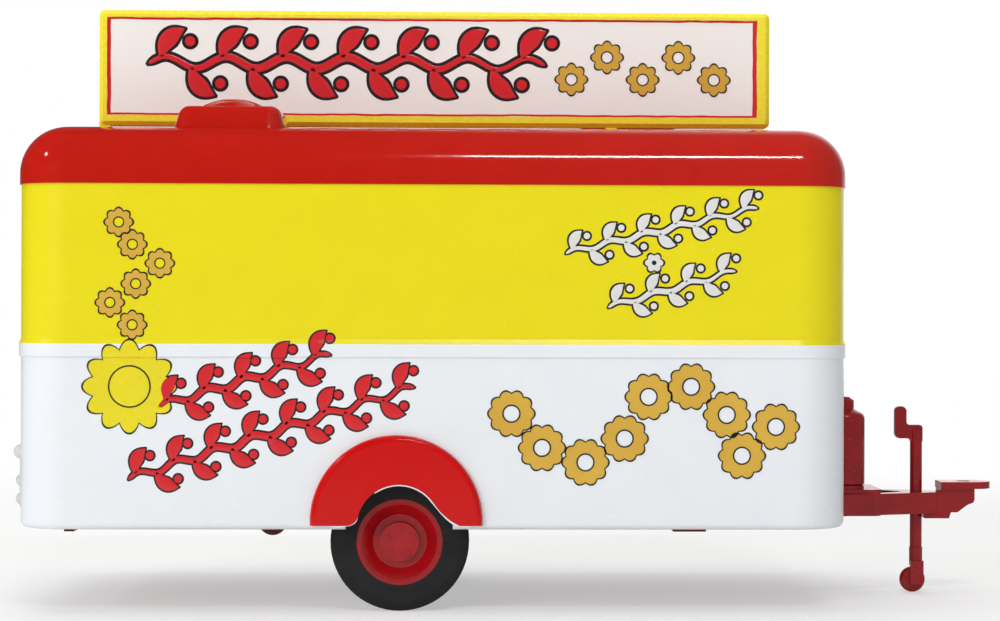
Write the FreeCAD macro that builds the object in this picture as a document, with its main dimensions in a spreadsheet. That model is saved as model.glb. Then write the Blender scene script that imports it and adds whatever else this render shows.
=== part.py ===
"""Toy concession trailer, about 1:87: a cast body on one axle, with a serving hatch,
a roof sign, a drawbar with gas bottles, and a jack wheel.

Millimetres, +Z up, +X towards the drawbar, serving side at +Y. The origin is on the
ground under the middle of the whole toy.
"""
import FreeCAD, Part
import os
import re

import Sketcher

os.makedirs("parts", exist_ok=True)
doc = FreeCAD.newDocument("concession_trailer")
V = FreeCAD.Vector

# Driving sizes
SIZES = [
    # alias, value, what it sizes
    ("body_length", 49.0, "cast body, front to rear"),
    ("body_width", 24.4, "cast body, side to side"),
    ("plan_radius", 3.0, "body corners seen from above"),
    ("wall_thick", 1.0, "cast walls"),
    ("sill_z", 4.93, "lower edge of the body above the ground"),
    ("lower_height", 10.87, "lower wall, from the sill to the belt"),
    ("upper_height", 9.37, "upper wall, from the belt to the eave"),
    ("roof_height", 3.83, "roof, from the eave to its crown"),
    ("roof_rise", 0.64, "crown above the roof's side edge"),
    ("edge_less", 0.2, "roof edge's rounding below the corners'"),
    ("roof_proud", 0.08, "roof beyond the wall below it"),
    ("roof_thick", 1.6, "roof casting under the crown"),
    ("sill_round", 0.4, "rounding of the body's lower edge"),
    ("bead_proud", 0.12, "belt bead beyond the wall"),
    ("bead_height", 0.8, "belt bead, bottom to top"),
    ("flare_height", 0.3, "upper wall's flare onto the bead"),
    # wheels, behind the middle of the body
    ("wheel_x", -2.0, "axle from the middle of the body"),
    ("tyre_radius", 4.1, "tyre, which is the axle's height too"),
    ("tyre_width", 2.4, "tyre, face to face"),
    ("tyre_gap", 0.2, "tyre's face inside the wall"),
    ("tyre_round", 0.55, "tyre shoulder"),
    ("tyre_bulge", 0.18, "shoulder's corner outside a plain chamfer"),
    ("hub_radius", 2.54, "hub in the tyre"),
    ("hub_sunk", 0.06, "hub face behind the tyre's face"),
    ("lip_width", 0.19, "rim's lip"),
    ("well_radius", 1.6, "bottom of the rim's well"),
    ("well_depth", 0.75, "rim's well behind the hub face"),
    ("step_depth", 0.12, "rim's step behind its lip"),
    ("step_width", 0.12, "rim's step"),
    ("boss_radius", 1.15, "centre disc"),
    ("boss_depth", 0.3, "centre disc behind the hub face"),
    ("nut_radius", 0.17, "wheel nut"),
    ("nut_circle", 0.8, "circle of the wheel nuts"),
    ("nut_proud", 0.14, "wheel nut above the centre disc"),
    ("nut_count", 5, "wheel nuts"),
    ("hub_back", 0.1, "hub's back inside the tyre's back"),
    ("axle_radius", 0.4, "axle"),
    ("axle_seat", 1.0, "axle's end behind the hub face"),
    ("axle_gap", 0.05, "running gap round the axle"),
    ("bearing_inset", 1.0, "bearing's face from the tyre's back"),
    ("bearing_width", 1.2, "bearing along the axle"),
    ("bearing_wall", 0.45, "bearing round the axle's hole"),
    # wheel arch
    ("fender_radius", 5.05, "half-moon fender"),
    ("fender_back", 0.155, "fender's centre behind the axle"),
    ("fender_rise", 1.336, "fender's centre above the axle"),
    ("fender_lift", 0.27, "fender's lower edge above the sill"),
    ("fender_proud", 0.5, "fender beyond the wall"),
    ("fender_round", 0.36, "fender's outer edge"),
    ("arch_radius", 2.45, "wheel opening in the fender"),
    ("arch_rise", 1.055, "opening's centre above the axle"),
    ("arch_front", 3.57, "opening's foot ahead of the axle"),
    ("arch_rear", 3.15, "opening's foot behind the axle"),
    ("arch_shoulder", 1.4, "front flare's start above the opening's centre"),
    ("arch_heel", 0.5, "rear flare's start above the opening's centre"),
    ("arch_sweep", 3.6, "front flare's curve"),
    ("arch_tuck", 0.75, "rear flare's curve"),
    ("arch_wide", 0.7, "wall's opening beyond the fender's"),
    # roof
    ("vent_end", 12.24, "roof vent's middle from the body's end"),
    ("vent_inset", 5.7, "roof vent's middle from the body's side"),
    ("vent_length", 6.8, "roof vent's foot, front to rear"),
    ("vent_width", 6.5, "roof vent's foot, side to side"),
    ("vent_round", 1.1, "roof vent's corners"),
    ("vent_lean", 0.5, "lean of the vent's sides"),
    ("vent_brow", 0.95, "vent's edge above the roof's crown"),
    ("vent_edge", 0.6, "rounding of the vent's upper edge"),
    ("dome_rise", 0.6, "vent's dome above its edge"),
    ("dome_radius", 2.1, "vent's dome"),
    ("sign_x", -0.13, "roof sign's middle from the body's middle"),
    ("sign_length", 42.15, "roof sign"),
    ("sign_gap", 0.32, "roof sign above the roof's crown"),
    ("sign_height", 7.25, "roof sign"),
    ("sign_thick", 1.5, "roof sign, front to back"),
    ("sign_bevel", 0.26, "roof sign's edges"),
    ("sign_corner", 0.35, "roof sign's corners"),
    ("border_rear", 0.5, "frame at its rear end"),
    ("border_front", 0.8, "frame at its front end"),
    ("border_top", 0.45, "frame above the panel"),
    ("border_foot", 0.65, "frame below the panel"),
    ("panel_sunk", 0.12, "panel behind the frame's face"),
    ("foot_length", 0.7, "sign's foot along the roof"),
    ("foot_depth", 1.0, "sign's foot, front to back"),
    ("foot_set", 9.65, "sign's inner feet from its ends"),
    # rear
    ("lamp_inset", 3.6, "rear lamps' middle from the body's side"),
    ("lamp_reach", 0.57, "top lamp beyond the rear wall"),
    ("lamp_radius", 0.43, "top lamp"),
    ("lamp_rise", 4.37, "top lamp above the sill"),
    ("small_reach", 0.43, "lower lamps beyond the rear wall"),
    ("small_radius", 0.375, "lower lamps"),
    ("lamp_drop", 1.7, "middle lamp below the top one"),
    ("lamp_step", 1.1, "lowest lamp below the middle one"),
    ("plate_thick", 0.12, "lamps' carrier"),
    ("plate_rim", 0.07, "lamps' carrier round the top lamp"),
    ("door_width", 8.2, "rear door"),
    ("door_rise", 0.97, "rear door's lower edge above the sill"),
    ("door_drop", 0.87, "rear door's upper edge below the eave"),
    ("door_proud", 0.2, "rear door beyond the wall"),
    ("door_gap", 0.02, "door over the belt bead"),
    ("door_corner", 0.5, "rear door's corners"),
    ("pane_sunk", 0.1, "door's panels behind its face"),
    ("pane_border", 1.2, "door's border round its panels"),
    ("handle_drop", 1.6, "door handle below the belt"),
    ("handle_length", 2.0, "door handle"),
    ("handle_proud", 0.3, "door handle beyond the door"),
    ("handle_width", 0.4, "door handle"),
    # serving hatch in the wall at +Y
    ("hatch_x", 0.0, "hatch's middle from the body's middle"),
    ("hatch_length", 30.0, "serving opening"),
    ("hatch_rise", 0.8, "serving opening's lower edge above the belt"),
    ("hatch_drop", 0.97, "serving opening's upper edge below the eave"),
    ("hatch_gap", 0.08, "gap round the flap"),
    ("knuckle_radius", 0.5, "flap's rounded top about its pins"),
    ("flap_relief", 0.1, "flap's back inside its rounded top"),
    ("pin_radius", 0.25, "hatch pins"),
    ("pin_length", 0.6, "hatch pins beyond the flap"),
    ("pin_gap", 0.04, "gap round a hatch pin"),
    ("flap_border", 0.7, "flap's border round its sunk panel"),
    ("flap_sunk", 0.15, "flap's sunk panel"),
    ("pull_length", 4.0, "hatch pull"),
    ("pull_height", 0.5, "hatch pull"),
    ("pull_proud", 0.3, "hatch pull beyond the sunk panel"),
    ("pull_gap", 0.15, "hatch pull above the flap's border"),
    # underside and inside
    ("base_thick", 0.7, "base plate"),
    ("base_sunk", 0.27, "base plate above the sill"),
    ("slot_gap", 0.4, "wheel slot round the tyre"),
    ("rail_inset", 6.6, "chassis rail's middle from the body's side"),
    ("rail_width", 0.8, "chassis rail"),
    ("rail_height", 0.7, "chassis rail below the base plate"),
    ("rail_end", 2.0, "chassis rail's end from the body's end"),
    ("member_drop", 0.15, "cross-member below the rails"),
    ("member_out", 0.9, "cross-member's end beyond the rail's middle"),
    ("rear_member", 0.6, "rear cross-member along the body"),
    ("rear_set", 2.4, "rear cross-member from the body's end"),
    ("front_member", 2.0, "front cross-member along the body"),
    ("front_set", 9.0, "front cross-member from the body's end"),
    ("hanger_back", 7.85, "spring hanger behind the axle"),
    ("hanger_half", 0.8, "spring hanger, half its length"),
    ("hanger_depth", 0.6, "spring hanger's straight sides"),
    ("hanger_round", 0.88, "spring hanger's rounded foot"),
    ("floor_thick", 0.6, "inner floor"),
    ("box_wall", 0.4, "wheel box walls"),
    ("box_gap", 0.5, "wheel box above the tyre"),
    ("counter_drop", 0.9, "serving counter's top below the opening"),
    ("counter_thick", 0.7, "counter tops and their end panels"),
    ("counter_depth", 3.6, "serving counter from the wall"),
    ("counter_short", 1.0, "counter's end inside the opening's end"),
    ("bench_end", 9.5, "rear bench's end from the body's end"),
    ("bench_depth", 4.2, "rear bench from the wall"),
    ("bench_drop", 0.7, "rear bench's top below the counter's"),
    ("fryer_length", 6.0, "fryer"),
    ("fryer_depth", 3.4, "fryer"),
    ("fryer_height", 1.8, "fryer"),
    ("fryer_round", 0.3, "fryer's corners"),
    ("fryer_x", 3.0, "fryer from the middle of the body"),
    ("kettle_radius", 1.2, "fryer's kettles"),
    ("kettle_depth", 1.2, "fryer's kettles"),
    # drawbar, forward of the body's front wall
    ("nose_reach", 7.16, "where the arms end"),
    ("tray_rise", 0.07, "bottle tray above the sill"),
    ("tray_height", 1.65, "bottle tray"),
    ("tray_lip", 0.93, "bottle tray ahead of the bottles"),
    ("tray_rim", 0.12, "bottle tray beside the bottles"),
    ("tray_corner", 0.6, "bottle tray's front corners"),
    ("arm_rise", 0.11, "drawbar arms above the sill"),
    ("arm_height", 1.33, "drawbar arms"),
    ("arm_half", 3.7, "arms at the body, half their spread"),
    ("arm_width", 0.9, "one arm across"),
    ("nose_half", 0.85, "arms at their nose, half their spread"),
    ("web_back", 2.26, "where the arms join, behind their nose"),
    ("web_half", 0.3, "gap between the arms where they join, half"),
    ("bottle_radius", 1.18, "gas bottle"),
    ("bottle_gap", 0.06, "gas bottle from the front wall"),
    ("bottle_apart", 0.2, "gas bottle from the middle line"),
    ("bottle_seat", 0.21, "gas bottle's seat above the tray"),
    ("bottle_body", 4.22, "gas bottle up to its shoulder"),
    ("bottle_slope", 0.57, "gas bottle's shoulder"),
    ("bottle_round", 0.38, "gas bottle's shoulder, its rounding"),
    ("bottle_edge", 0.12, "gas bottle's lower edge"),
    ("collar_height", 0.56, "bottle's collar"),
    ("collar_radius", 0.5, "bottle's collar"),
    ("cap_rise", 0.2, "cap on the bottle's collar"),
    ("cap_radius", 0.2, "top of the cap"),
    ("jack_back", 1.25, "jack post behind the arms' nose"),
    ("jack_radius", 0.38, "jack post"),
    ("jack_top", 10.6, "top of the jack post above the ground"),
    ("jack_round", 0.22, "jack post's upper corner"),
    ("tube_radius", 0.42, "jack's lower tube"),
    ("tube_length", 1.12, "jack's lower tube"),
    ("tube_gap", 0.12, "jack's lower tube above its wheel"),
    ("crank_height", 0.86, "crank arm"),
    ("crank_length", 1.38, "crank's rear end behind the post"),
    ("crank_width", 0.5, "crank arm across"),
    ("crank_bend", 0.2, "crank's inner corners"),
    ("grip_width", 0.74, "crank's grip, front to rear"),
    ("grip_rise", 1.17, "crank's grip above the post"),
    ("grip_round", 0.33, "crank's grip, its corners"),
    ("jockey_radius", 0.8, "jack wheel"),
    ("jockey_trail", 0.23, "jack wheel behind the post"),
    ("jockey_width", 0.5, "jack wheel"),
    ("jockey_round", 0.15, "jack wheel's edges"),
    ("fork_thick", 0.3, "jack fork"),
    ("fork_drop", 0.3, "jack fork below the wheel's centre"),
    # coupler
    ("lug_gap", 0.06, "coupler's lug ahead of the jack post"),
    ("lug_ahead", 0.72, "coupler's lug ahead of the arms' nose"),
    ("lug_height", 0.32, "coupler's lug below the arms"),
    ("lug_slant", 0.12, "lean of the lug's front"),
    ("coupler_short", 1.1, "coupler's front behind the tow plate's"),
    ("coupler_half", 0.88, "coupler, half its width"),
    ("coupler_lift", 0.06, "coupler's belly above the arms' foot"),
    ("belly_end", 1.08, "coupler's belly behind its front"),
    ("throat_end", 0.5, "coupler's throat behind its front"),
    ("throat_rise", 0.5, "coupler's throat above the arms' foot"),
    ("chin_rise", 0.1, "coupler's chin above its throat"),
    ("chin_round", 0.3, "coupler's chin, its rounding"),
    ("tow_lift", 0.22, "tow plate above the arms"),
    ("tow_thick", 0.44, "tow plate"),
    ("tow_ahead", 0.17, "tow plate's rear ahead of the arms' nose"),
    ("tow_length", 3.44, "tow plate ahead of the arms' nose"),
    ("tow_half", 1.15, "tow plate, half its width"),
    ("eye_back", 1.65, "tow eye behind the tow plate's nose"),
    ("eye_radius", 0.45, "tow eye"),
]

# Sizes and places that follow from the ones above
FOLLOWS = {
    "belt_z": "sill_z + lower_height",
    "eave_z": "belt_z + upper_height",
    "roof_z": "eave_z + roof_height",
    "roof_edge": "plan_radius - edge_less",
    "wheel_z": "tyre_radius",
    "tyre_face": "body_width / 2 - wall_thick - tyre_gap",
    "lip_radius": "hub_radius - lip_width",
    "bearing_y": "tyre_face - tyre_width - bearing_inset - bearing_width / 2",
    "bearing_half": "axle_radius + axle_gap + bearing_wall",
    "fender_x": "wheel_x - fender_back",
    "fender_z": "wheel_z + fender_rise",
    "fender_foot": "sill_z + fender_lift",
    "arch_z": "wheel_z + arch_rise",
    "vent_x": "body_length / 2 - vent_end",
    "vent_y": "body_width / 2 - vent_inset",
    "sign_z": "roof_z + sign_gap",
    "vent_top": "vent_brow + dome_rise",
    "foot_rear": "sign_length / 2 - foot_length / 2",
    "foot_inner": "sign_length / 2 - foot_set - foot_length / 2",
    "lamp_y": "body_width / 2 - lamp_inset",
    "lamp_z": "sill_z + lamp_rise",
    "middle_lamp_z": "lamp_z - lamp_drop",
    "foot_lamp_z": "middle_lamp_z - lamp_step",
    "plate_half": "lamp_radius + plate_rim",
    "door_foot": "sill_z + door_rise",
    "door_head": "eave_z - door_drop",
    "handle_z": "belt_z - handle_drop",
    "opening_foot": "belt_z + hatch_rise",
    "opening_head": "eave_z - hatch_drop",
    "flap_thick": "2 * knuckle_radius - flap_relief",
    "slot_half": "tyre_radius + slot_gap",
    "slot_inner": "tyre_face - tyre_width - slot_gap",
    "rail_y": "body_width / 2 - rail_inset",
    "rail_foot": "sill_z + base_sunk - rail_height",
    "hanger_x": "wheel_x - hanger_back",
    "counter_z": "opening_foot - counter_drop",
    "counter_half": "hatch_length / 2 - counter_short",
    "bench_half": "body_length / 2 - bench_end",
    "bench_z": "counter_z - bench_drop",
    "tray_reach": "bottle_gap + 2 * bottle_radius + tray_lip",
    "tray_half": "bottle_apart + 2 * bottle_radius + tray_rim",
    "tray_foot": "sill_z + tray_rise",
    "tray_top": "tray_foot + tray_height",
    "arm_foot": "sill_z + arm_rise",
    "arm_top": "arm_foot + arm_height",
    "nose_web": "nose_reach - web_back",
    "bottle_x": "bottle_gap + bottle_radius",
    "bottle_y": "bottle_apart + bottle_radius",
    "bottle_foot": "tray_top + bottle_seat",
    "bottle_shoulder": "bottle_foot + bottle_body",
    "bottle_neck": "bottle_shoulder + bottle_slope",
    "collar_top": "bottle_neck + collar_height",
    "bottle_top": "collar_top + cap_rise",
    "jack_x": "nose_reach - jack_back",
    "tube_foot": "2 * jockey_radius + tube_gap",
    "jack_foot": "tube_foot + tube_length",
    "crank_foot": "jack_top - crank_height",
    "crank_reach": "jack_x - crank_length",
    "grip_top": "jack_top + grip_rise",
    "jockey_x": "jack_x - jockey_trail",
    "fork_foot": "jockey_radius - fork_drop",
    "coupler_rear": "jack_x + jack_radius + lug_gap",
    "coupler_lug": "nose_reach + lug_ahead",
    "coupler_foot": "arm_foot - lug_height",
    "coupler_step": "arm_foot + coupler_lift",
    "throat_z": "arm_foot + throat_rise",
    "chin_z": "throat_z + chin_rise",
    "tow_reach": "nose_reach + tow_length",
    "coupler_reach": "tow_reach - coupler_short",
    "tow_rear": "nose_reach + tow_ahead",
    "tow_foot": "arm_top + tow_lift",
    "tow_top": "tow_foot + tow_thick",
    "eye_x": "tow_reach - eye_back",
}

size = doc.addObject("Spreadsheet::Sheet", "size")
for row, (alias, value, meaning) in enumerate(SIZES, start=1):
    size.set(f"A{row}", alias)
    size.set(f"B{row}", str(value))
    size.set(f"C{row}", meaning)
    size.setAlias(f"B{row}", alias)
doc.recompute()

# Lines that several pieces share
FRONT = "body_length / 2"
REAR = "-body_length / 2"
SIDE = "body_width / 2"
INNER_X = "(body_length / 2 - wall_thick)"
INNER_Y = "(body_width / 2 - wall_thick)"
BASE_FOOT = "(sill_z + base_sunk)"
BASE_TOP = "(sill_z + base_sunk + base_thick)"
FLOOR_TOP = "(sill_z + base_sunk + base_thick + floor_thick)"
BOX_TOP = "(wheel_z + tyre_radius + box_gap + box_wall)"
CROWN_RADIUS = "(((body_width / 2 + roof_proud)^2 + roof_rise^2) / (2 * roof_rise))"
HINGE_Y = "(body_width / 2 - knuckle_radius)"
HINGE_Z = "(opening_head - hatch_gap - knuckle_radius)"
MIDDLE = "(lamp_reach - tow_reach) / 2"

pieces = []


def sized(text):
    """Write out what follows from other sizes, and name the sheet before each size."""
    word = re.compile(r"\b[a-z]+(?:_[a-z]+)+\b")
    while any(found in FOLLOWS for found in word.findall(text)):
        text = word.sub(lambda found: f"({FOLLOWS[found.group(0)]})"
                        if found.group(0) in FOLLOWS else found.group(0), text)
    return word.sub(lambda found: "size." + found.group(0), text)


def value_of(text):
    return float(origin_marker.evalExpression(sized(text)))


origin_marker = doc.addObject("App::FeaturePython", "origin_marker")


def place(item, x="0", y="0", z="0"):
    """Put an object at a point given from the middle of the body, on the ground."""
    item.setExpression("Placement.Base.x", sized(f"{MIDDLE} + {x}"))
    item.setExpression("Placement.Base.y", sized(y))
    item.setExpression("Placement.Base.z", sized(z))


def new_body(label, x="0", y="0", z="0", keep=True):
    body = doc.addObject("PartDesign::Body", label)
    body.Label = label
    place(body, x, y, z)
    if keep:
        pieces.append(body)
    return body


def origin_item(body, role):
    return next(item for item in body.Origin.OriginFeatures if item.Role == role)


def add_circle(drawing, x, y, radius):
    numbers = [value_of(item) for item in (x, y, radius)]
    circle = Part.Circle(V(numbers[0], numbers[1], 0), V(0, 0, 1), numbers[2])
    index = drawing.addGeometry(circle, False)
    for kind, number, text in zip(("DistanceX", "DistanceY"), numbers, (x, y)):
        constraint = Sketcher.Constraint(kind, -1, 1, index, 3, number)
        drawing.setExpression(f"Constraints[{drawing.addConstraint(constraint)}]", sized(text))
    constraint = Sketcher.Constraint("Radius", index, numbers[2])
    drawing.setExpression(f"Constraints[{drawing.addConstraint(constraint)}]", sized(radius))


def add_path(drawing, rows):
    """Draw a closed path.

    A row is (x, y) where a straight line leaves the point, or (x, y, radius, turn) where
    an arc leaves it, anticlockwise for a turn of 1 and clockwise for -1.
    """
    points = [V(value_of(row[0]), value_of(row[1]), 0) for row in rows]
    ends = []
    for number, row in enumerate(rows):
        start, stop = points[number], points[(number + 1) % len(rows)]
        if len(row) == 2:
            edge = drawing.addGeometry(Part.LineSegment(start, stop), False)
            ends.append((edge, 1, 2))
            continue
        radius, turn = value_of(row[2]), row[3]
        chord = stop - start
        away = max(radius**2 - (chord.Length / 2) ** 2, 0.0) ** 0.5
        centre = (start + stop) / 2 + V(-chord.y, chord.x, 0).normalize() * away * turn
        first, last = (start, stop) if turn > 0 else (stop, start)
        angles = [V(1, 0, 0).getAngle(point - centre) for point in (first, last)]
        angles = [
            angle if point.y >= centre.y else -angle for angle, point in zip(angles, (first, last))
        ]
        circle = Part.Circle(centre, V(0, 0, 1), radius)
        edge = drawing.addGeometry(Part.ArcOfCircle(circle, angles[0], angles[1]), False)
        ends.append((edge, 1, 2) if turn > 0 else (edge, 2, 1))
        constraint = Sketcher.Constraint("Radius", edge, radius)
        held = drawing.addConstraint(constraint)
        drawing.setExpression(f"Constraints[{held}]", sized(row[2]))
    for number, row in enumerate(rows):
        edge, begin, _ = ends[number]
        previous, _, finish = ends[number - 1]
        drawing.addConstraint(Sketcher.Constraint("Coincident", previous, finish, edge, begin))
        for kind, coordinate, text in (
            ("DistanceX", points[number].x, row[0]),
            ("DistanceY", points[number].y, row[1]),
        ):
            constraint = Sketcher.Constraint(kind, -1, 1, edge, begin, coordinate)
            held = drawing.addConstraint(constraint)
            drawing.setExpression(f"Constraints[{held}]", sized(text))


def sketch(body, plane, loops, centre="0"):
    """Draw loops on an origin plane of the body, moved along the plane's axis to centre."""
    drawing = body.newObject("Sketcher::SketchObject", f"{body.Label}_outline")
    drawing.AttachmentSupport = [(origin_item(body, f"{plane}_Plane"), "")]
    drawing.MapMode = "FlatFace"
    # the XZ plane faces -Y
    facing = "-1" if plane == "XZ" else "1"
    drawing.setExpression("AttachmentOffset.Base.z", sized(f"{facing} * ({centre})"))
    for loop in loops:
        if isinstance(loop, tuple):
            add_circle(drawing, *loop)
        else:
            add_path(drawing, loop)
    return drawing


def pad(body, plane, loops, centre, thick):
    """Add the outline's solid, half of its thickness to each side of centre."""
    feature = body.newObject("PartDesign::Pad", f"{body.Label}_pad")
    feature.Profile = sketch(body, plane, loops, centre)
    feature.SideType = "Symmetric"
    feature.setExpression("Length", sized(thick))
    doc.recompute()
    return feature


def pocket(body, plane, loops, centre, thick):
    """Cut the outline away, half of its thickness to each side of centre."""
    before = body.Shape.Volume
    feature = body.newObject("PartDesign::Pocket", f"{body.Label}_pocket")
    feature.Profile = sketch(body, plane, loops, centre)
    feature.SideType = "Symmetric"
    feature.setExpression("Length", sized(thick))
    doc.recompute()
    if body.Shape.Volume > before * (1 - 1e-6):
        raise RuntimeError(f"{body.Label}: a pocket cut nothing")
    return feature


def turned(body, plane, loop, axis, cut=False):
    """Revolve a half section about one of the body's own axes."""
    before = body.Shape.Volume if cut else 0.0
    kind = "Groove" if cut else "Revolution"
    feature = body.newObject(f"PartDesign::{kind}", f"{body.Label}_turned")
    feature.Profile = sketch(body, plane, [loop])
    feature.ReferenceAxis = (origin_item(body, f"{axis}_Axis"), [""])
    feature.Angle = 360
    doc.recompute()
    if cut and body.Shape.Volume > before * (1 - 1e-6):
        raise RuntimeError(f"{body.Label}: a groove cut nothing")
    return feature


def edges_of(body, wanted):
    """Name the edges of the body's last feature for which the test holds."""
    edges = body.Tip.Shape.Edges
    names = [f"Edge{number}" for number, edge in enumerate(edges, start=1) if wanted(edge)]
    if not names:
        raise RuntimeError(f"{body.Label}: no edge to dress")
    return names


def fillet(body, radius, wanted):
    base, names = body.Tip, edges_of(body, wanted)
    feature = body.newObject("PartDesign::Fillet", f"{body.Label}_fillet")
    feature.Base = (base, names)
    feature.setExpression("Radius", sized(radius))
    doc.recompute()
    return feature


def chamfer(body, first, second, wanted):
    base, names = body.Tip, edges_of(body, wanted)
    feature = body.newObject("PartDesign::Chamfer", f"{body.Label}_chamfer")
    feature.Base = (base, names)
    feature.ChamferType = "Two distances"
    feature.setExpression("Size", sized(first))
    feature.setExpression("Size2", sized(second))
    doc.recompute()
    return feature


def box_of(edge, axis):
    bounds = edge.BoundBox
    return getattr(bounds, f"{axis}Min"), getattr(bounds, f"{axis}Max")


def level(axis, text):
    """Test for edges that lie wholly at one value along an axis."""
    goal = value_of(text)
    return lambda edge: all(abs(end - goal) < 1e-4 for end in box_of(edge, axis))


def along(axis):
    """Test for straight edges parallel to an axis."""
    rest = [name for name in "XYZ" if name != axis]
    return lambda edge: (
        all(abs(box_of(edge, name)[1] - box_of(edge, name)[0]) < 1e-4 for name in rest)
        and box_of(edge, axis)[1] - box_of(edge, axis)[0] > 1e-3
    )


def rim(x_half, y_half):
    """Test for edges whose ends lie on the sides of a rectangle about the origin."""
    limits = (value_of(x_half), value_of(y_half))
    return lambda edge: all(
        min(abs(abs(end.X) - limits[0]), abs(abs(end.Y) - limits[1])) < 1e-4
        for end in edge.Vertexes
    )


def both(*tests):
    return lambda edge: all(test(edge) for test in tests)


def rounded(x_half, y_half, radius, x="0", y="0"):
    """A rectangle with rounded corners about a point."""
    left, right = f"{x} - ({x_half})", f"{x} + ({x_half})"
    low, high = f"{y} - ({y_half})", f"{y} + ({y_half})"
    return [
        (f"{left} + {radius}", low),
        (f"{right} - {radius}", low, radius, 1),
        (right, f"{low} + {radius}"),
        (right, f"{high} - {radius}", radius, 1),
        (f"{right} - {radius}", high),
        (f"{left} + {radius}", high, radius, 1),
        (left, f"{high} - {radius}"),
        (left, f"{low} + {radius}", radius, 1),
    ]


def oblong(x_low, x_high, y_low, y_high):
    """A plain rectangle between its sides."""
    return [(x_low, y_low), (x_high, y_low), (x_high, y_high), (x_low, y_high)]


def between(low, high):
    """The middle and the distance of two heights, for a pad or pocket."""
    return f"(({low}) + ({high})) / 2", f"({high}) - ({low})"


OUTLINE = rounded(FRONT, SIDE, "plan_radius")
CAVITY = rounded(INNER_X, INNER_Y, "(plan_radius - wall_thick)")

# Lower body, with its belt bead and wheel openings
BEAD_X = "(body_length / 2 + bead_proud)"
BEAD_Y = "(body_width / 2 + bead_proud)"
BEAD = rounded(BEAD_X, BEAD_Y, "(plan_radius + bead_proud)")
lower = new_body("lower_body")
pad(lower, "XY", [OUTLINE, CAVITY], *between("sill_z", "belt_z"))
fillet(lower, "sill_round", both(level("Z", "sill_z"), rim(FRONT, SIDE)))
pad(lower, "XY", [BEAD, CAVITY], *between("belt_z - bead_height", "belt_z"))
BEAD_EDGE = "(0.6 * bead_proud)"
chamfer(lower, BEAD_EDGE, BEAD_EDGE, both(
    level("Z", "belt_z - bead_height"), rim(BEAD_X, BEAD_Y)
))
ARCH_HOLE = "(arch_radius + arch_wide)"
pocket(lower, "XZ", [("wheel_x", "arch_z", ARCH_HOLE)], "0", "body_width + 2")

# Upper body, with the flare onto the bead and the serving opening
upper = new_body("upper_body")
pad(upper, "XY", [OUTLINE], *between("belt_z", "eave_z"))
flare = upper.newObject("PartDesign::Pad", "upper_body_flare")
flare.Profile = sketch(upper, "XY", [BEAD], "belt_z")
flare.setExpression("Length", sized("flare_height"))
flare.setExpression("TaperAngle", sized("-atan(bead_proud / flare_height)"))
doc.recompute()
pocket(upper, "XY", [CAVITY], *between("belt_z - 1", "eave_z + 1"))
HATCH_REAR = "(hatch_x - hatch_length / 2)"
HATCH_FRONT = "(hatch_x + hatch_length / 2)"
OPENING = oblong(HATCH_REAR, HATCH_FRONT, "opening_foot", "opening_head")
pocket(upper, "XZ", [OPENING], "body_width / 2", "3 * wall_thick")
PIN_HOLE = (HINGE_Y, HINGE_Z, "(pin_radius + pin_gap)")
PIN_SPAN = "(hatch_length - 2 * hatch_gap + 2 * pin_length)"
pocket(upper, "YZ", [PIN_HOLE], "hatch_x", f"{PIN_SPAN} + 4 * pin_gap")

# Roof, crowned from side to side, hollow below
roof = new_body("roof_cap")
ROOF_X = "(body_length / 2 + roof_proud)"
ROOF_Y = "(body_width / 2 + roof_proud)"
ROOF_SIDE = "(roof_z - roof_rise)"
SECTION = [
    (f"-{ROOF_Y}", "eave_z"),
    (ROOF_Y, "eave_z"),
    (ROOF_Y, ROOF_SIDE, CROWN_RADIUS, 1),
    (f"-{ROOF_Y}", ROOF_SIDE),
]
pad(roof, "YZ", [SECTION], "0", f"2 * {ROOF_X}")
fillet(roof, "plan_radius", along("Z"))
fillet(roof, "roof_edge", lambda edge: edge.BoundBox.ZMin > value_of(ROOF_SIDE) - 0.01)
CEILING = "(roof_z - roof_thick)"
pocket(roof, "XY", [CAVITY], *between("eave_z - 1", CEILING))

# What stands on the roof is cut to its crown
crown = doc.addObject("Part::Cylinder", "crown")
crown.setExpression("Radius", sized(CROWN_RADIUS))
crown.setExpression("Height", sized("2 * body_length"))
crown.Placement.Rotation = FreeCAD.Rotation(V(0, 1, 0), 90)
place(crown, "-body_length", "0", f"roof_z - {CROWN_RADIUS}")


def cut_to_crown(label, body):
    cut = doc.addObject("Part::Cut", label)
    cut.Label = label
    cut.Base = body
    cut.Tool = crown
    doc.recompute()
    pieces.append(cut)


# Roof vents, one near each end on opposite sides
VENTS = [
    # label, end, side
    ("roof_vent_rear", "-1", "-1"),
    ("roof_vent_front", "1", "1"),
]
HOOD_HEIGHT = "(vent_brow + roof_rise)"
DOME_CURVE = "((dome_radius^2 + dome_rise^2) / (2 * dome_rise))"
for label, end, side in VENTS:
    vent = new_body(f"{label}_block", f"{end} * vent_x", f"{side} * vent_y", keep=False)
    foot = rounded("(vent_length / 2)", "(vent_width / 2)", "vent_round")
    hood = vent.newObject("PartDesign::Pad", f"{label}_hood")
    hood.Profile = sketch(vent, "XY", [foot], "roof_z - roof_rise")
    hood.setExpression("Length", sized(HOOD_HEIGHT))
    hood.setExpression("TaperAngle", sized(f"-atan(vent_lean / {HOOD_HEIGHT})"))
    doc.recompute()
    fillet(vent, "vent_edge", level("Z", "roof_z + vent_brow"))
    dome = [
        ("0", "roof_z"),
        ("dome_radius", "roof_z"),
        ("dome_radius", "(roof_z + vent_brow)", DOME_CURVE, 1),
        ("0", "(roof_z + vent_top)"),
    ]
    turned(vent, "XZ", dome, "Z")
    cut_to_crown(label, vent)

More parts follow.
